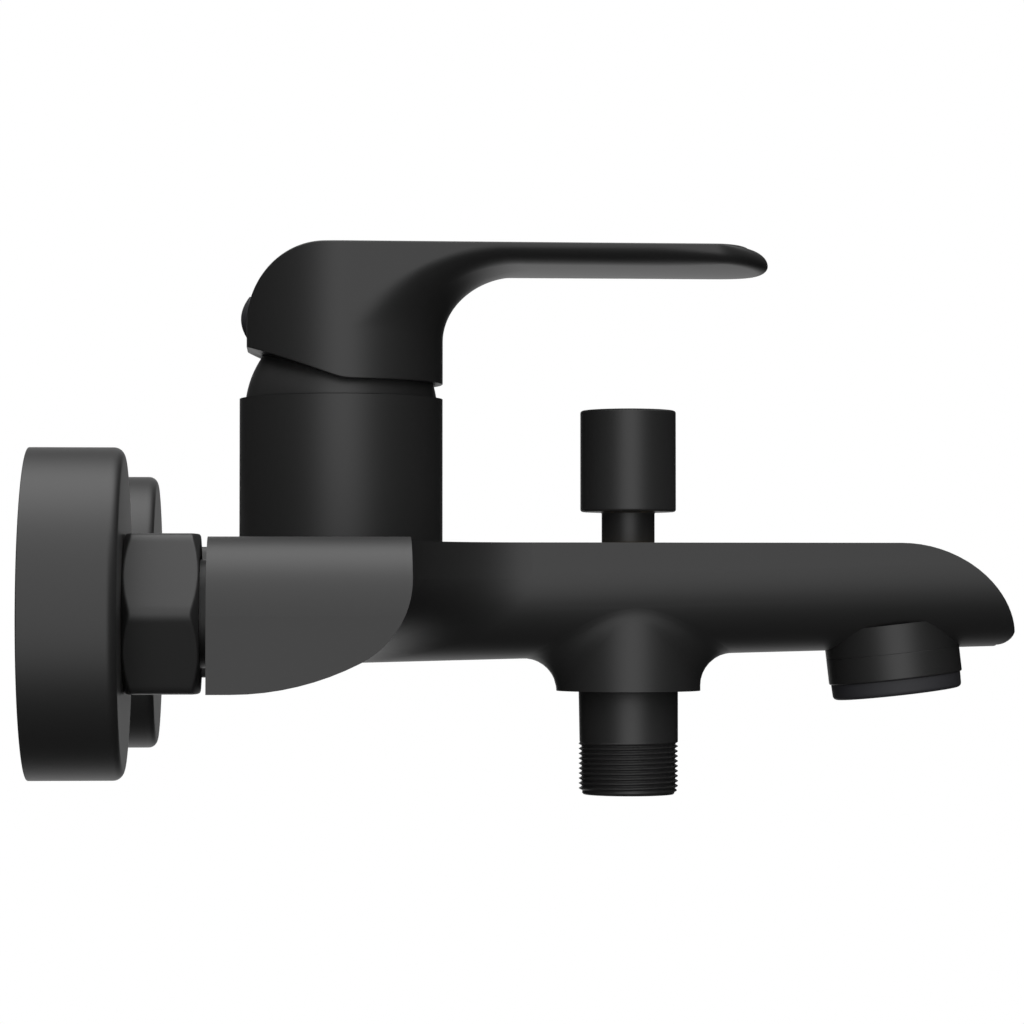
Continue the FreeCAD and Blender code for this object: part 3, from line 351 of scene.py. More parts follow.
def mapped(tree: Tree, value: Socket, before: Pair, after: Pair, kind: str = "LINEAR") -> Socket:
    """Maps the range between two values of a socket to another range, evenly or by a smooth step."""
    ends = {"From Min": before[0], "From Max": before[1], "To Min": after[0], "To Max": after[1]}
    return worked(tree, "MapRange", "Result", {"Value": value, **ends}, interpolation_type=kind)


@dataclass(frozen=True)
class Finish:
    """A surface finish with a fine grain."""

    name: str  # the material's name
    low: Triple  # colour in the hollows of the grain
    high: Triple  # colour on its crests
    gloss: Pair  # roughness of the smoothest and the roughest patches
    grain: float = 0.4  # size of the grain, in millimetres
    relief: float = 2.0  # height of the grain, in micrometres
    patch: float = 14.0  # size of the wider patches that the roughness drifts over, in millimetres
    metal: bool = False  # whether it is bare metal
    specular: float = 0.5  # the shader's specular level
    stretch: Triple = (1.0, 1.0, 1.0)  # how far the grain is drawn out along X, Y and Z, as after brushing

    def noise(self, tree: Tree, size: float, detail: float) -> Socket:
        """A noise pattern in the piece's own coordinates.

        Args:
            tree: the material's node tree.
            size: of its features, in millimetres.
            detail: number of finer octaves.

        Returns:
            The pattern's value.
        """
        where = worked(tree, "TexCoord", "Object", {})
        scale = [1 / (size * MM * drawn) for drawn in self.stretch]
        place = worked(tree, "Mapping", "Vector", {"Vector": where, "Scale": scale})
        return worked(tree, "TexNoise", "Fac", {"Vector": place, "Scale": 1.0, "Detail": detail})

    def material(self) -> bpy.types.Material:
        """The finish as a node material, made once and then shared.

        Returns:
            The material.
        """
        made = bpy.data.materials.get(self.name)
        if made:
            return made
        made = bpy.data.materials.new(self.name)
        made.use_nodes = True
        tree = made.node_tree
        fine = self.noise(tree, self.grain, 4.0)
        gloss = mapped(tree, self.noise(tree, self.patch, 2.0), (0.3, 0.7), self.gloss)
        tint = worked(tree, "Mix", 2, {0: fine, 6: (*self.low, 1.0), 7: (*self.high, 1.0)}, data_type="RGBA")
        relief = self.relief * MM * MM
        bump = worked(tree, "Bump", "Normal", {"Strength": 0.5, "Distance": relief, "Height": fine})
        wire(tree, tree.nodes["Principled BSDF"], {
            "Metallic": float(self.metal), "Specular IOR Level": self.specular, "Roughness": gloss,
            "Base Color": tint, "Normal": bump})
        return made

    def dress(self, piece: Shape) -> None:
        """Gives a piece this finish, in place of whatever it had."""
        piece.data.materials.clear()
        piece.data.materials.append(self.material())


class Finishes(Enum):
    """Every finish on the mixer. Each value is named for the record's slot."""

    SATIN_BLACK = Finish("satin_black", (0.0030, 0.0030, 0.0032), (0.0062, 0.0062, 0.0064), (0.32, 0.38),
                         grain=0.35, relief=1.6)
    BLACK_PLASTIC = Finish("black_plastic", (0.007, 0.007, 0.0072), (0.014, 0.014, 0.0145), (0.45, 0.55),
                           grain=0.25, relief=4.0)
    BRASS = Finish("brass", (0.58, 0.42, 0.19), (0.74, 0.57, 0.30), (0.24, 0.38), grain=0.12, relief=1.5,
                   metal=True, stretch=(9.0, 1.0, 1.0))
    STAINLESS = Finish("stainless", (0.50, 0.50, 0.51), (0.68, 0.68, 0.69), (0.2, 0.34), grain=0.08,
                       relief=1.0, metal=True, stretch=(1.0, 1.0, 8.0))
    WHITE_PLASTIC = Finish("white_plastic", (0.70, 0.70, 0.67), (0.82, 0.82, 0.79), (0.38, 0.5), grain=0.5,
                           relief=3.0)
    CERAMIC = Finish("ceramic", (0.78, 0.76, 0.71), (0.88, 0.86, 0.82), (0.12, 0.2), grain=0.08, relief=0.4)
    RUBBER = Finish("rubber", (0.012, 0.012, 0.012), (0.03, 0.03, 0.03), (0.62, 0.75), grain=0.3, relief=6.0,
                    specular=0.35)


def fit(piece: Shape, body: str, *nodes: str, finish: Finishes = Finishes.SATIN_BLACK) -> None:
    """Dresses a new piece, sets it on its body and lets it stand for its CAD nodes.

    Args:
        piece: the finished piece.
        body: the body that it moves with.
        nodes: the CAD nodes that it stands for.
        finish: its finish.
    """
    finish.value.dress(piece)
    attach(piece, body)
    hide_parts(*nodes)
    LOG.info("%s: %d faces, stands for %s", piece.name, len(piece.data.polygons), ", ".join(nodes))


def span(node: str) -> tuple[Array, Array]:
    """The lowest and highest corner of a CAD node, in millimetres."""
    low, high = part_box(node)
    return np.array(low) / MM, np.array(high) / MM


# --- wall side ---
@dataclass
class WallConnection:
    """One of the two wall connections: flange, eccentric union, union nut and the stub into the arm."""

    side: str  # hot or cold
    flange_wall: float = 1.5  # thickness of the pressed flange
    flange_round: float = 2.0  # radius of its front edge
    nut_flats: float = 30.0  # distance across the nut's flats
    nut_close: float = 0.25  # how much nearer to the flange its back lies, so that the gap stays dark
    nut_neck: float = 10.5  # radius of the nut's opening round the stub
    nut_lip: float = 2.2  # thickness of the lip round that opening
    nut_cut: float = 0.35  # how far the nut's corners and ends are cut back
    nut_corner: float = 0.5  # width over which its corners are rounded
    nut_chamfer: float = 30.0  # slope in degrees of the cone that cuts its ends
    stub_neck: float = 10.2  # radius of the stub between nut and arm
    stub_root: float = 9.2  # radius of its thread in the arm
    stub_bore: float = 6.8  # radius of its bore
    union_bore: float = 6.5  # radius of the union's bore
    wall_radius: float = 10.48  # radius of the thread that goes into the wall
    wall_end: float = 11.0  # where that thread ends along X
    nut_start: float = 16.0  # where the wider thread under the nut begins
    wall_clear: float = 1.5  # how far the wall thread's foot lies below the union's own
    pitch: float = 1.814  # of the pipe threads
    depth: float = 1.0  # of the pipe threads

    def build(self) -> None:
        """Makes every piece of the connection."""
        self.flange()
        self.nut()
        self.stub()
        self.union()

    def axis(self) -> Axis:
        """The connection's axis, which points out of the wall."""
        low, high = span(f"wall_flange_{self.side}")
        return Axis((0.0, (low[1] + high[1]) / 2, 0.0), (1.0, 0.0, 0.0), (0.0, 1.0, 0.0))

    def union_radius(self) -> float:
        """The radius of the union's thread under the nut."""
        return span(f"wall_union_{self.side}")[1][1] - self.axis().origin[1]

    def flange(self) -> None:
        """The round cover: a pressed shell with a rounded front edge, turned round the inlet's axis."""
        node = f"wall_flange_{self.side}"
        low, high = span(node)
        radius, depth = (high[1] - low[1]) / 2, high[0]
        hole, inner, lining = self.union_radius() + 0.3, radius - self.flange_wall, depth - self.flange_wall
        outline = rounded([
            (hole, lining, 0.3), (inner, lining, 0.6), (inner, 0.0, 0.25), (radius, 0.0, 0.25),
            (radius, depth, self.flange_round), (hole, depth, 0.3)], closed=True)
        fit(turned(f"flange_{self.side}", self.axis(), outline, sides=224), "faucet_body", node)

    def nut(self) -> None:
        """The hexagon nut.

        Its radius at an angle is half the flats over the cosine of the angle from the nearest flat, cut
        off by the chamfer cone with a rounded corner; the bore is a plain thread and mouth.
        """
        node = f"union_nut_{self.side}"
        low, high = span(node)
        thread = self.union_radius() + 0.05
        columns, rows = 288, 56
        angle = np.arange(columns) * TURN / columns
        flat = np.mod(angle, TURN / 6) - TURN / 12
        share = (1 - np.cos(np.linspace(0, math.pi, rows))) / 2
        back = low[0] - self.nut_close
        height = back + (high[0] - back) * share
        hexagon = self.nut_flats / 2 / np.cos(flat)[None, :] * np.ones((rows, 1))
        corner = np.full_like(hexagon, self.nut_flats / math.sqrt(3) - self.nut_cut)
        hexagon = smooth_min(hexagon, corner, self.nut_corner)
        near_end = np.minimum(height - back, high[0] - height)[:, None]
        slope = math.tan(math.radians(self.nut_chamfer))
        chamfer = self.nut_flats / 2 - self.nut_cut + near_end / slope
        outer = smooth_min(hexagon, chamfer * np.ones_like(hexagon), self.nut_cut)
        lip = high[0] - self.nut_lip
        bore = rounded([(self.nut_neck, high[0], 0.2), (self.nut_neck, lip, 0.2), (thread, lip, 0.2),
                        (thread, back, 0.2)])
        inner, depth = around(bore, columns)[:2]
        radius = np.concatenate([outer, inner])
        along = np.concatenate([np.broadcast_to(height[:, None], outer.shape), depth])
        grid = self.axis().place(radius, along, np.broadcast_to(angle, radius.shape))
        fit(skin(f"nut_{self.side}", grid, ring=True), "faucet_body", node)

    def stub(self) -> None:
        """The stub between nut and arm: a collar, a neck and a pipe thread."""
        node = f"inlet_nipple_{self.side}"
        low, high = span(node)
        collar = high[1] - self.axis().origin[1]
        step = span(f"union_nut_{self.side}")[1][0] - self.nut_lip
        arm = span("main_body")[0][0]
        outline = rounded([
            (self.stub_bore, low[0], 0.3), (collar, low[0], 0.3), (collar, step, 0.2),
            (self.stub_neck, step, 0.2), (self.stub_neck, arm, 0.15), (self.stub_root, arm, 0.1),
            (self.stub_root, high[0], 0.3), (self.stub_bore, high[0], 0.3)], closed=True)
        fit(turned(f"inlet_stub_{self.side}", self.axis(), outline), "faucet_body", node)

    def union(self) -> None:
        """The eccentric union.

        A tube whose centre line steps down towards the wall: its radius and the height of its centre
        follow smooth steps along X, and both ends carry a pipe thread.
        """
        node = f"wall_union_{self.side}"
        low, high = span(node)
        face, wide = high[0], self.union_radius()
        gap = self.pitch / 9
        outline = np.array(
            [(self.union_bore, 0.0, 0), *wall_points(self.wall_radius, 0.0, self.wall_end, gap)]
            + [(wide, self.wall_end + 0.4, 0), *wall_points(wide, self.nut_start, face, gap)]
            + [(self.union_bore, face, 0), *wall_points(self.union_bore, face - 0.5, 0.5, 1.0)])
        radius, height, angle = around(outline, 128)
        cut = np.clip((self.wall_end - height) / 2, 0, 1) + np.clip((height - self.nut_start - 1) / 2, 0, 1)
        cut = np.clip(cut, 0, 1) * np.clip(height / 0.8, 0, 1) * np.clip((face - height) / 0.8, 0, 1)
        cut = self.depth * groove(height, angle, self.pitch) * cut
        radius = radius - np.where(radius > self.union_bore + 1, cut, 0)
        grid = self.axis().place(radius, height, angle)
        drop = low[2] + self.wall_radius + self.wall_clear
        grid[..., 2] += drop * (1 - ease((height - self.wall_end + 2) / 5))
        fit(skin(f"eccentric_union_{self.side}", grid, ring=True), "faucet_body", node,
            finish=Finishes.BRASS)


# --- head ---
@dataclass
class LeverHead:
    """The dome, the lever and the small button that hides its screw."""

    hub: float = 21.35  # radius of the lever's hub, the same as the housing's
    half_width: float = 19.6  # of the paddle where its rounded end begins
    taper: float = 1.75  # how much wider the paddle is at the hub
    end_depth: float = 9.2  # how far the rounded end reaches along X
    bulge: float = 3.9  # how far the end's face swells below its top edge
    throat: Pair = (18.0, 14.5)  # depth and height of the curve between hub and paddle
    edge: float = 0.35  # radius of the top edge
    foot_round: float = 0.25  # radius of the hub's lower edge
    under: Pair = (5.6, 3.35)  # reach and height of the rounding under the paddle's edge, along its sides
    under_tip: Pair = (2.4, 1.6)  # the same at the tip
    fade: float = 14.0  # how far before the rounded end the rounding begins to shrink
    crown: float = 1.1  # how far the paddle's underside bows down at its middle
    thickness: float = 4.8  # of the paddle at its middle
    back_round: float = 16.0  # radius of the rounded back
    cut_slope: float = 20.0  # slope in degrees of the cut under the back
    cut_blend: float = 0.5  # width over which the cut and the flat back run into the hub
    dome_gap: float = 0.45  # clearance between the dome and the hollow over it
    dome_wall: float = 1.6  # thickness of the dome
    throat_radius: float = 17.0  # inside of the dome's collar
    skirt_radius: float = 18.95  # outside of the dome's collar, which goes down into the housing
    boss: float = 7.4  # radius of the boss inside the hollow
    boss_foot: float = 54.5  # height of its lower face
    hole: float = 3.7  # radius of its hole for the spindle
    roof: float = 5.3  # thickness left over that hole
    cap_depth: float = 1.8  # how far the button's face falls from its middle to its rim
    shank: float = 2.0  # radius of the button's shank
    pole: float = 0.4  # radius where a closed end's fan begins
    columns: int = 300  # points round the lever
    rows: int = 150  # points down a column, from the top edge to the foot

    def __post_init__(self) -> None:
        """Reads the places from the frame."""
        low, high = span("lever")
        self.back, self.tip, self.top, self.bottom = low[0], high[0], high[2], low[2]
        dome_low, dome_high = span("dome_cover")
        self.axis_x = (dome_low[0] + dome_high[0]) / 2
        self.dome_foot, self.dome_top = dome_low[2], dome_high[2]
        self.rim = span("main_body")[1][2]
        pin_low, pin_high = span("pivot_pin")
        self.pivot = (pin_low[2] + pin_high[2]) / 2
        self.dome_radius = math.hypot((dome_high[1] - dome_low[1]) / 2, self.rim - self.pivot)
        self.end_x = self.tip - self.bulge - self.end_depth

    def build(self) -> None:
        """Makes the dome, the lever and the button."""
        self.dome()
        self.lever()
        self.button()

    def zone(self, radius: float, angle: Array) -> Array:
        """Points by radius and height on a ball round the pivot, at angles above the level."""
        return np.stack([radius * np.cos(angle), self.pivot + radius * np.sin(angle)], axis=1)

    def dome(self) -> None:
        """The dome: a ball's zone round the lever's pivot, with a wall, turned round the upright axis."""
        outer, inner, edge = self.dome_radius, self.dome_radius - self.dome_wall, 0.3
        rise, foot = self.dome_top - self.pivot, self.dome_foot
        shell = self.zone(outer, np.linspace(math.asin((self.rim - self.pivot) / outer),
                                             math.asin(rise / outer), 36))
        lining = self.zone(inner, np.linspace(math.asin(rise / inner), 0.05, 30))
        collar = np.array([(self.throat_radius, self.pivot), (self.throat_radius, foot + edge),
                           (self.throat_radius + edge, foot), (self.skirt_radius - edge, foot),
                           (self.skirt_radius, foot + edge), (self.skirt_radius, self.rim - 0.02)])
        outline = np.concatenate([shell, lining, collar])
        fit(turned("dome", upright(self.axis_x), outline, sides=200), "faucet_body", "dome_cover")

    def outline(self) -> tuple[Array, Array]:
        """The lever's edge seen from above, and the directions square to it.

        The sides run from the hub's widest points with a half width of half_width plus taper times the
        share of the way back to the power 1.25; the end is half an ellipse, and the back is the hub's
        circle cut off by the flat of the back.

        Returns:
            Points and outward directions, each columns by two.
        """
        t = np.linspace(0, QUARTER, 200)
        end = np.stack([self.end_x + self.end_depth * np.cos(t), self.half_width * np.sin(t)], axis=1)
        share = np.linspace(0, 1, 400)[1:]
        side = np.stack([self.end_x - (self.end_x - self.axis_x) * share,
                         self.half_width + self.taper * share ** 1.25], axis=1)
        turn = np.linspace(QUARTER, math.pi, 300)[1:]
        flat = (self.axis_x - self.back) / np.maximum(-np.cos(turn), 1e-6)
        reach = smooth_min(np.full_like(turn, self.hub), flat, self.cut_blend)
        rear = np.stack([self.axis_x + reach * np.cos(turn), reach * np.sin(turn)], axis=1)
        half = np.concatenate([end, side, rear])
        whole = np.concatenate([half, half[-2:0:-1] * [1, -1], half[:1]])
        edge = spread(whole[None], self.columns + 1, 9.0)[0, :-1]
        run = np.roll(edge, -1, axis=0) - np.roll(edge, 1, axis=0)
        square = np.stack([run[:, 1], -run[:, 0]], axis=1)
        square /= np.linalg.norm(square, axis=1, keepdims=True)
        return edge, square * np.sign((square * (edge - [self.axis_x + self.hub, 0])).sum())

    def top_height(self, x: Array) -> Array:
        """Height of the top: flat, and a quarter circle down to the back."""
        drop = np.clip(self.back + self.back_round - x, 0, self.back_round)
        return self.top - self.back_round + np.sqrt(self.back_round ** 2 - drop ** 2)

    def foot_height(self, x: Array) -> Array:
        """Height of the hub's foot: level, and sloping up under the back."""
        rise = (self.axis_x - x) * math.tan(math.radians(self.cut_slope))
        return self.bottom + 0.5 * (rise + np.sqrt(rise * rise + self.cut_blend ** 2))

    def underside(self, gap: Array, y: Array) -> Array:
        """Height of the paddle's underside.

        It is the paddle's bottom, bowed down in the middle by the crown, less the throat: height times
        one minus the square root of one minus the square of (1 - gap / depth).

        Args:
            gap: distance outside the hub.
            y: distance from the middle plane.

        Returns:
            The height.
        """
        depth, height = self.throat
        across = np.clip(np.abs(y) / self.half_width, 0, 1)
        left = np.clip(1 - gap / depth, 0, 1)
        return (self.top - self.thickness + self.crown * across ** 2
                - height * (1 - np.sqrt(1 - left * left)))

    def lever(self) -> None:
        """The lever, one closed surface of columns that start at the top's middle and end in the hollow.

        A column runs out over the top to the edge, down the side, round under it, in along the underside
        and down the throat, whose drop is a quarter ellipse of the distance from the hub, down the hub's
        wall, and up inside the hollow, a ball round the pivot, to the boss that holds the spindle.
        """
        edge, square = self.outline()
        centre = np.array([self.axis_x, 0.0])
        reach = np.linalg.norm(edge - centre, axis=1)
        gap = np.maximum(reach - self.hub, 0)
        # over the top
        share = 1 - (1 - np.linspace(0.02, 1, 26)) ** 1.6
        top = centre + (edge - square * self.edge - centre)[:, None] * share[None, :, None]
        top = lifted(top, self.top_height(top[..., 0]))
        # the top edge
        bend = np.linspace(0, QUARTER, 6)[1:]
        lip = edge[:, None] - square[:, None] * (self.edge * (1 - np.sin(bend)))[None, :, None]
        lip = lifted(lip, self.top_height(lip[..., 0]) - self.edge * (1 - np.cos(bend)))
        # down the side, which swells at the end
        late = ease((edge[:, 0] - self.end_x + self.fade) / (self.end_depth + self.fade))
        reach_in, rise = (side + (tip - side) * late for side, tip in zip(self.under, self.under_tip))
        side_top = lip[:, -1, 2]
        side_foot = np.minimum(self.underside(gap, edge[:, 1]) + rise, side_top)
        fall = side_top[:, None] + (side_foot - side_top)[:, None] * np.linspace(0, 1, 90)
        above = (fall - side_foot[:, None]) / np.maximum(side_top - side_foot, 1e-6)[:, None]
        swell = self.bulge * np.clip((edge[:, 0] - self.end_x) / self.end_depth, 0, 1) ** 2
        swell = swell[:, None] * np.sqrt(np.clip(1 - above ** 2, 0, 1))
        side = lifted(edge[:, None] + square[:, None] * swell[..., None], fall)
        # round under it
        reach_in = smooth_min(reach_in, gap, 0.4) * (gap > 0)
        curl = np.linspace(0, QUARTER, 60)[1:]
        tuck = side[:, -1:, :2] - square[:, None] * (reach_in[:, None] * (1 - np.cos(curl)))[..., None]
        tuck_gap = np.maximum(np.linalg.norm(tuck - centre, axis=2) - self.hub, 0)
        height = self.underside(tuck_gap, tuck[..., 1]) + rise[:, None] * (1 - np.sin(curl))
        tuck = lifted(tuck, np.minimum(height, side_foot[:, None]))
        # in along the underside and down the throat, towards the hub's middle
        way = tuck[:, -1, :2] - centre
        way /= np.linalg.norm(way, axis=1, keepdims=True)
        wall_reach = np.minimum(self.hub, reach)[:, None]
        inward = tuck_gap[:, -1:] * (1 - np.linspace(0, 1, 260)[None, 1:]) ** 1.6
        below = centre + way[:, None] * (wall_reach + inward)[..., None]
        below = lifted(below, self.underside(inward, below[..., 1]))
        # down the hub's wall
        ring = centre + way * wall_reach
        foot = (self.foot_height(ring[:, 0]) + self.foot_round)[:, None]
        fall = below[:, -1:, 2] + (foot - below[:, -1:, 2]) * np.linspace(0, 1, 60)[1:]
        wall = lifted(np.broadcast_to(ring[:, None], (*fall.shape, 2)), fall)
        path = spread(np.concatenate([lip[:, -1:], side, tuck, below, wall], axis=1), self.rows, 5.0)
        # round the foot and up the hollow
        curl = np.linspace(0, QUARTER, 5)[1:]
        hem = ring[:, None] - way[:, None] * (self.foot_round * (1 - np.cos(curl)))[None, :, None]
        hem = lifted(hem, foot - self.foot_round * np.sin(curl))
        grid = np.concatenate([top, lip, path[:, 1:], hem, self.hollow(centre, way)], axis=1)
        fit(skin("lever_handle", grid.transpose(1, 0, 2)), "handle", "lever")

    def hollow(self, centre: Array, way: Array) -> Array:
        """The hollow over the dome: a ball round the pivot, then the boss and its hole for the spindle.

        Where the ball would reach below the foot, a column starts on the foot instead.

        Args:
            centre: the hub's middle, seen from above.
            way: each column's direction from it.

        Returns:
            Columns by rows by three.
        """
        ball = self.dome_radius + self.dome_gap
        radius, height = self.zone(ball, math.acos(self.boss / ball) * np.linspace(0, 1, 60)).T
        flat = centre + way[:, None] * radius[None, :, None]
        height = np.broadcast_to(height, flat.shape[:2])
        kept = height > self.foot_height(flat[..., 0])
        start = np.take_along_axis(flat, kept.argmax(axis=1)[:, None, None], 1)
        rim = lifted(start, self.foot_height(start[..., 0]))
        arc = np.where(kept[..., None], lifted(flat, height), rim)
        arc = spread(np.concatenate([rim, arc[:, 1:]], axis=1), 30, 0.0)
        roof = self.top - self.roof
        well = rounded([(self.boss, height[0, -1], 0.0), (self.boss, self.boss_foot, 0.5),
                        (self.hole, self.boss_foot, 0.4), (self.hole, roof, 0.3),
                        (self.pole, roof, 0.0)], steps=4)[1:]
        well_flat = centre + way[:, None] * well[None, :, :1]
        well_height = np.broadcast_to(well[:, 1], well_flat.shape[:2])
        return np.concatenate([arc, lifted(well_flat, well_height)], axis=1)

    def button(self) -> None:
        """The button over the screw: a shallow cap on a shank, turned round the screw's axis."""
        low, high = span("screw_cover")
        height, radius = (low[2] + high[2]) / 2, (high[2] - low[2]) / 2
        axis = Axis((0.0, 0.0, height), (-1.0, 0.0, 0.0), (0.0, 1.0, 0.0))
        share = np.linspace(0, 1, 20)
        face = np.stack([radius * share, -low[0] - self.cap_depth * share ** 2], axis=1)
        seat = -self.back - self.cap_depth
        side = rounded([
            (radius, -low[0] - self.cap_depth, 0.0), (radius, seat, 0.2), (self.shank, seat, 0.1),
            (self.shank, -high[0], 0.3), (self.pole, -high[0], 0.0)], steps=4)
        outline = np.concatenate([face[1:], side[1:]])
        fit(turned("screw_button", axis, outline, sides=96, ring=False), "handle", "screw_cover",
            finish=Finishes.BLACK_PLASTIC)


# --- spout side ---
@dataclass
class Diverter:
    """The pull knob on the spout and the spring that holds it down."""

    edge: float = 0.55  # radius of the knob's edges
    drum_foot: float = 21.3  # height of the lower face of the knob's drum
    neck: float = 5.6  # radius of the knob's neck
    bore: float = 3.05  # radius of the bore for the rod
    pole: float = 0.3  # radius where a closed end's fan begins
    spring_radius: float = 4.9  # of the spring's centre line
    spring_wire: float = 0.9  # diameter of its wire

    def build(self) -> None:
        """Makes the knob and the spring."""
        self.knob()
        self.spring()

    def knob(self) -> None:
        """The knob: a straight sided drum on a slimmer neck, with a blind bore for the rod."""
        low, high = span("diverter_knob")
        centre, radius = (low[0] + high[0]) / 2, (high[0] - low[0]) / 2
        roof = span("diverter_rod")[1][2]
        outline = rounded([
            (self.pole, high[2], 0.0), (radius, high[2], self.edge), (radius, self.drum_foot, self.edge),
            (self.neck, self.drum_foot, 0.5), (self.neck, low[2], 0.3), (self.bore, low[2], 0.2),
            (self.bore, roof, 0.2), (self.pole, roof, 0.0)])
        fit(turned("pull_knob", upright(centre), outline, sides=176, ring=False), "diverter",
            "diverter_knob")

    def spring(self) -> None:
        """The spring between the gland and the piston, built at one length."""
        piece, centre, keep = coil("diverter_return_spring", "diverter_spring", "diverter_pull",
                                   self.spring_radius, self.spring_wire)
        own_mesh(piece)


@dataclass
class ShowerOutlet:
    """The threaded outlet for the shower hose and the small spring of its check valve."""

    bore: float = 7.5  # radius of the bore
    thread_start: float = 0.2  # height where the thread begins, above the foot
    thread_length: float = 11.2  # height where it ends, above the foot
    pitch: float = 1.04  # of the thread
    depth: float = 0.62  # of the thread
    run_out: float = 0.3  # share of a turn that the thread keeps beyond its ends
    end: float = 1.0  # reach of the chamfer at the foot
    skirt: float = -16.4  # height where the tube goes up into the spout's skirt
    root: float = 9.4  # radius of the tube above that
    spring_radius: float = 3.1  # of the spring's centre line
    spring_wire: float = 0.6  # diameter of its wire

    def build(self) -> None:
        """Makes the outlet and the valve spring."""
        self.outlet()
        self.spring()

    def outlet(self) -> None:
        """The outlet: a tube whose lower wall carries a fine thread and a chamfered foot.

        The crest is a helix: the cut's depth is the groove's rounded wave to the power 0.8, and it fades
        to nothing over one pitch at either end.
        """
        low, high = span("shower_outlet")
        outer, centre = (high[0] - low[0]) / 2, (high[0] + low[0]) / 2
        foot, top = low[2], high[2]
        thread_top = foot + self.thread_length
        chamfer = [(outer - self.end * share, foot + self.end * (1 - share), 0.0)
                   for share in np.linspace(0.9, 0, 7)]
        outline = np.array(
            [(self.bore, foot, 0.0), (outer - self.end, foot, 0.0), *chamfer]
            + wall_points(outer, foot + self.end, thread_top, self.pitch / 12)[1:]
            + [(outer, self.skirt - 0.3, 0.0), (outer - 0.1, self.skirt, 0.0),
               (self.root, self.skirt + 0.01, 0.0), (self.root, top, 0.0),
               (self.bore, top, 0.0), (self.bore, top - 0.3, 0.0), (self.bore, foot + 0.3, 0.0)])
        radius, height, angle = around(outline, 144)
        past_start = (height - foot - self.thread_start) / self.pitch + self.run_out
        before_end = (thread_top - height) / self.pitch + self.run_out
        fade = np.clip(past_start, 0, 1) * np.clip(before_end, 0, 1)
        cut = self.depth * groove(height, angle, self.pitch) ** 0.8 * fade
        radius = radius - np.where(radius > outer - self.depth, cut, 0)
        grid = upright(centre).place(radius, height, angle)
        fit(skin("shower_outlet_tube", grid, ring=True), "faucet_body", "shower_outlet")

    def spring(self) -> None:
        """The check valve's spring, built at one length."""
        piece, centre, keep = coil("check_spring", "check_valve_spring", "check_valve", self.spring_radius,
                                   self.spring_wire)
        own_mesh(piece)


@dataclass
class SpoutOutlet:
    """The aerator: a threaded ring in the spout's nose and the insert that shapes the stream."""

    lean: float = 6.5  # degrees that its axis leans forward
    origin: Triple = (176.2, 0.0, -7.5)  # a point on its axis
    ring_radius: float = 14.1  # outside of the ring
    ring: Pair = (-6.3, -0.8)  # lowest and highest height of the ring along the axis
    sleeve: Pair = (12.0, 3.6)  # radius and height of the sleeve that goes up into the nose
    insert_radius: float = 13.7  # outside of the insert
    insert_foot: float = -9.6  # lowest height of the insert along the axis
    insert_bore: float = 9.45  # radius of the insert's bore
    bore: float = 10.6  # radius of the mouth

    def build(self) -> None:
        """Makes the ring and the insert."""
        self.ring_piece()
        self.insert()

    def axis(self) -> Axis:
        """The leaning axis."""
        sine, cosine = math.sin(math.radians(self.lean)), math.cos(math.radians(self.lean))
        return Axis(self.origin, (-sine, 0.0, cosine), (cosine, 0.0, sine))

    def ring_piece(self) -> None:
        """The ring with softened edges, and the sleeve that goes up into the nose."""
        low, high = self.ring
        sleeve, top = self.sleeve[0], high + self.sleeve[1]
        outline = rounded([
            (self.bore, low, 0.2), (self.ring_radius, low, 0.35), (self.ring_radius, high, 0.2),
            (sleeve, high, 0.1), (sleeve, top, 0.3), (self.bore, top, 0.3)], closed=True)
        fit(turned("aerator_sleeve", self.axis(), outline, sides=176), "faucet_body", "aerator_ring")

    def insert(self) -> None:
        """The insert: a narrower collar below the ring with a rounded mouth."""
        low, high = self.insert_foot, self.ring[0]
        outline = rounded([
            (self.insert_bore, high, 0.1), (self.insert_bore, low + 1.5, 0.2),
            (self.bore - 0.6, low + 1.2, 0.4), (self.bore, low, 0.5), (self.insert_radius - 0.1, low, 0.9),
            (self.insert_radius, high, 0.15)], closed=True)
        fit(turned("aerator_mouth", self.axis(), outline, sides=176), "faucet_body", "aerator_insert",
            finish=Finishes.BLACK_PLASTIC)


# --- casting and inner pieces ---
@dataclass
class CarriedOver:
    """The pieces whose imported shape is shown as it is, each in the finish of its slot."""

    def build(self) -> None:
        """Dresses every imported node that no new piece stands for."""
        by_slot = {finish.value.name: finish for finish in Finishes}
        slots = {part["node"]: part["material_slot"] for part in frame["record"]["subparts"]}
        for name, node in sorted(frame["nodes"].items()):
            if not node.hide_render:
                by_slot[slots[name]].value.dress(node)
                LOG.info("%s: packed shape in %s", name, slots[name])


# --- studio ---
@dataclass(frozen=True)
class Softbox:
    """A soft light far away: an upright patch of the surroundings with faded edges."""

    height: float  # degrees of its middle, from the front (0) up over the top (90) to the back (180)
    wide: Pair  # degrees to either side where it begins to fade and where it has faded out
    tall: Pair  # the same, up and down
    strength: float  # radiance at its middle

    def axes(self) -> Array:
        """The directions towards its middle, along its width and along its height, one to a row."""
        sine, cosine = math.sin(math.radians(self.height)), math.cos(math.radians(self.height))
        return np.array([[0.0, -cosine, sine], [1.0, 0.0, 0.0], [0.0, sine, cosine]])


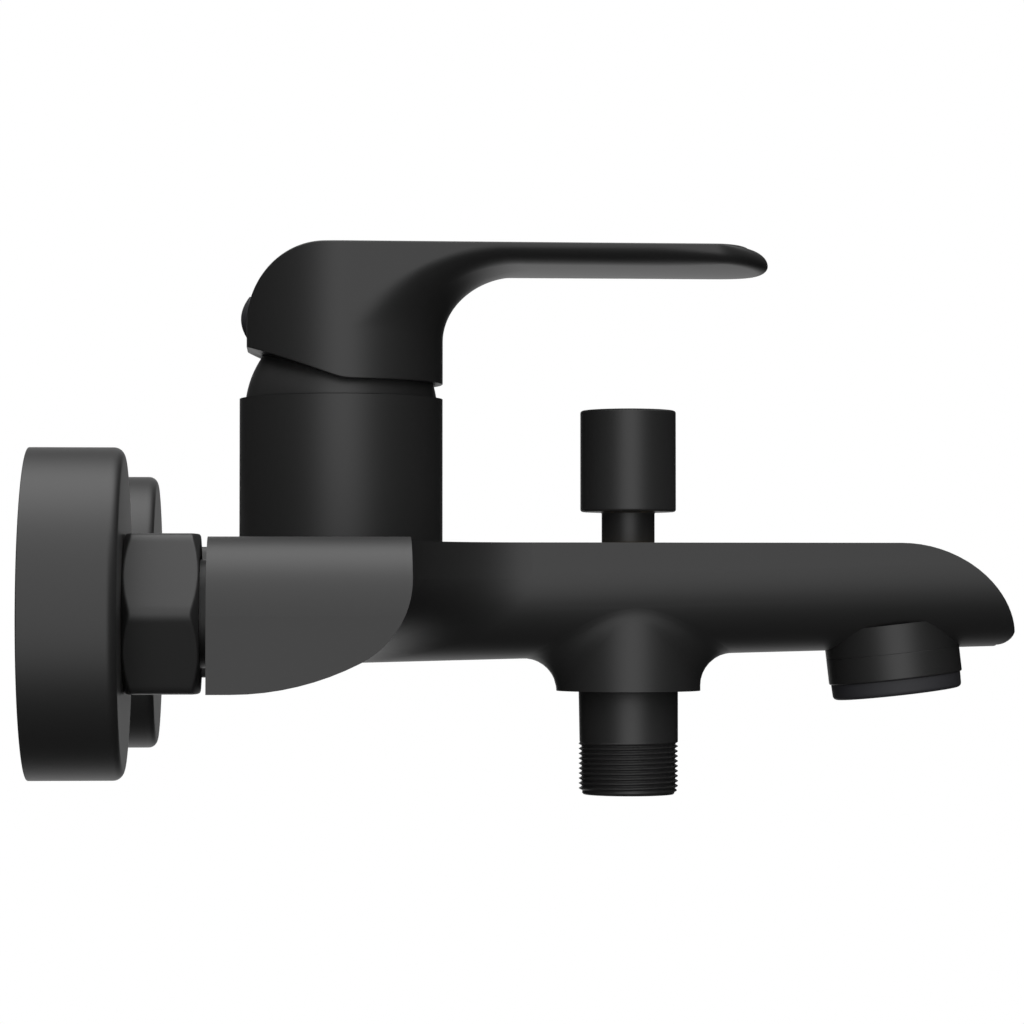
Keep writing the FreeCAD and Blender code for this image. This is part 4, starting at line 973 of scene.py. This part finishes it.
@dataclass
class Studio:
    """Soft light from above, in front and behind, a white surround and the camera."""

    softboxes: tuple[Softbox, ...] = (
        Softbox(14.0, (9.0, 36.0), (34.0, 72.0), 1.95),
        Softbox(94.0, (24.0, 60.0), (14.0, 38.0), 3.1),
        Softbox(191.0, (6.0, 24.0), (24.0, 50.0), 0.85),
    )
    dim: float = 0.015  # radiance of the rest of the surround
    rim: float = 0.08  # share of a ray along a softbox's middle where it is at full strength
    floor_depth: float = 1.4  # how far below the mixer the floor lies, in metres
    floor_reach: float = 30.0  # how far the floor reaches to each side, in metres
    eye: Triple = (0.05105, -0.724, 0.00169)  # the camera's place, in metres
    yaw: float = 3.506  # degrees that the camera is turned towards +X from +Y
    pitch: float = 1.546  # degrees that it looks up
    lens: float = 120.9  # focal length, in millimetres
    sensor: float = 36.0  # width of the sensor, in millimetres

    def build(self) -> None:
        """Sets up the surround, the floor and the camera."""
        bpy.context.scene.view_settings.view_transform = "Standard"
        self.surround()
        self.floor()
        self.camera()

    def calculate(self, tree: Tree, operation: str, first: Socket, second: Socket | float) -> Socket:
        """One step of arithmetic on two values."""
        return worked(tree, "Math", "Value", {0: first, 1: second}, operation=operation)

    def patch(self, tree: Tree, ray: Socket, box: Softbox) -> Socket:
        """A softbox's radiance: smooth steps of the ray's share across and up it, times its strength.

        Args:
            tree: the surround's node tree.
            ray: the ray's direction.
            box: the softbox.

        Returns:
            The radiance.
        """
        along, across, upward = (
            worked(tree, "VectorMath", "Value", {0: ray, 1: way}, operation="DOT_PRODUCT")
            for way in box.axes())
        total = mapped(tree, along, (0.0, self.rim), (0.0, box.strength), "SMOOTHSTEP")
        for share, edges in ((across, box.wide), (upward, box.tall)):
            either_side = self.calculate(tree, "ABSOLUTE", share, 0.0)
            full, gone = (math.sin(math.radians(edge)) for edge in edges)
            step = mapped(tree, either_side, (full, gone), (1.0, 0.0), "SMOOTHSTEP")
            total = self.calculate(tree, "MULTIPLY", total, step)
        return total

    def surround(self) -> None:
        """The surround: the softboxes' radiances added to a dim rest, and plain white to the camera."""
        world = bpy.data.worlds.new("studio")
        bpy.context.scene.world = world
        world.use_nodes = True
        tree = world.node_tree
        ray = worked(tree, "TexCoord", "Generated", {})
        total = self.patch(tree, ray, self.softboxes[0])
        for box in self.softboxes[1:]:
            total = self.calculate(tree, "ADD", total, self.patch(tree, ray, box))
        total = self.calculate(tree, "ADD", total, self.dim)
        light = wire(tree, tree.nodes["Background"], {"Strength": total, "Color": WHITE}).outputs[0]
        self.split(tree, light, worked(tree, "Background", 0, {"Color": WHITE}), tree.nodes["World Output"])

    def split(self, tree: Tree, lit: Socket, seen: Socket, end: Node) -> None:
        """Shows one shader to the camera itself and another to every other ray."""
        camera_ray = worked(tree, "LightPath", "Is Camera Ray", {})
        wire(tree, end, {"Surface": worked(tree, "MixShader", 0, {0: camera_ray, 1: lit, 2: seen})})

    def floor(self) -> None:
        """A plain pale floor, far enough below to be evenly white, that lets the softboxes shine through."""
        corners = np.array([[-1, -1, 0], [1, -1, 0], [1, 1, 0], [-1, 1, 0]]) * self.floor_reach
        corners[:, 2] = -self.floor_depth
        ground = mesh_piece("floor", corners, [[0, 1, 2, 3]])
        finish = bpy.data.materials.new("pale_floor")
        finish.use_nodes = True
        tree = finish.node_tree
        clear, seen = (worked(tree, kind, 0, {}) for kind in ("BsdfTransparent", "Emission"))
        self.split(tree, clear, seen, tree.nodes["Material Output"])
        ground.data.materials.append(finish)

    def camera(self) -> None:
        """The camera, level with the spout and turned a little towards it."""
        lens = bpy.data.cameras.new("camera")
        lens.lens = self.lens
        lens.sensor_width = self.sensor
        lens.clip_start = 0.01
        lens.clip_end = 100.0
        viewer = bpy.data.objects.new("camera", lens)
        viewer.location = self.eye
        viewer.rotation_euler = (math.radians(90 + self.pitch), 0.0, -math.radians(self.yaw))
        bpy.context.scene.collection.objects.link(viewer)
        bpy.context.scene.camera = viewer


def main() -> None:
    """Builds every sub-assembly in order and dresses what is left."""
    logging.basicConfig(level=logging.INFO, format="%(name)s: %(message)s")
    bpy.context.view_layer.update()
    for side in ("hot", "cold"):
        WallConnection(side).build()
    LeverHead().build()
    Diverter().build()
    ShowerOutlet().build()
    SpoutOutlet().build()
    CarriedOver().build()
    Studio().build()


if __name__ == "__main__":
    main()
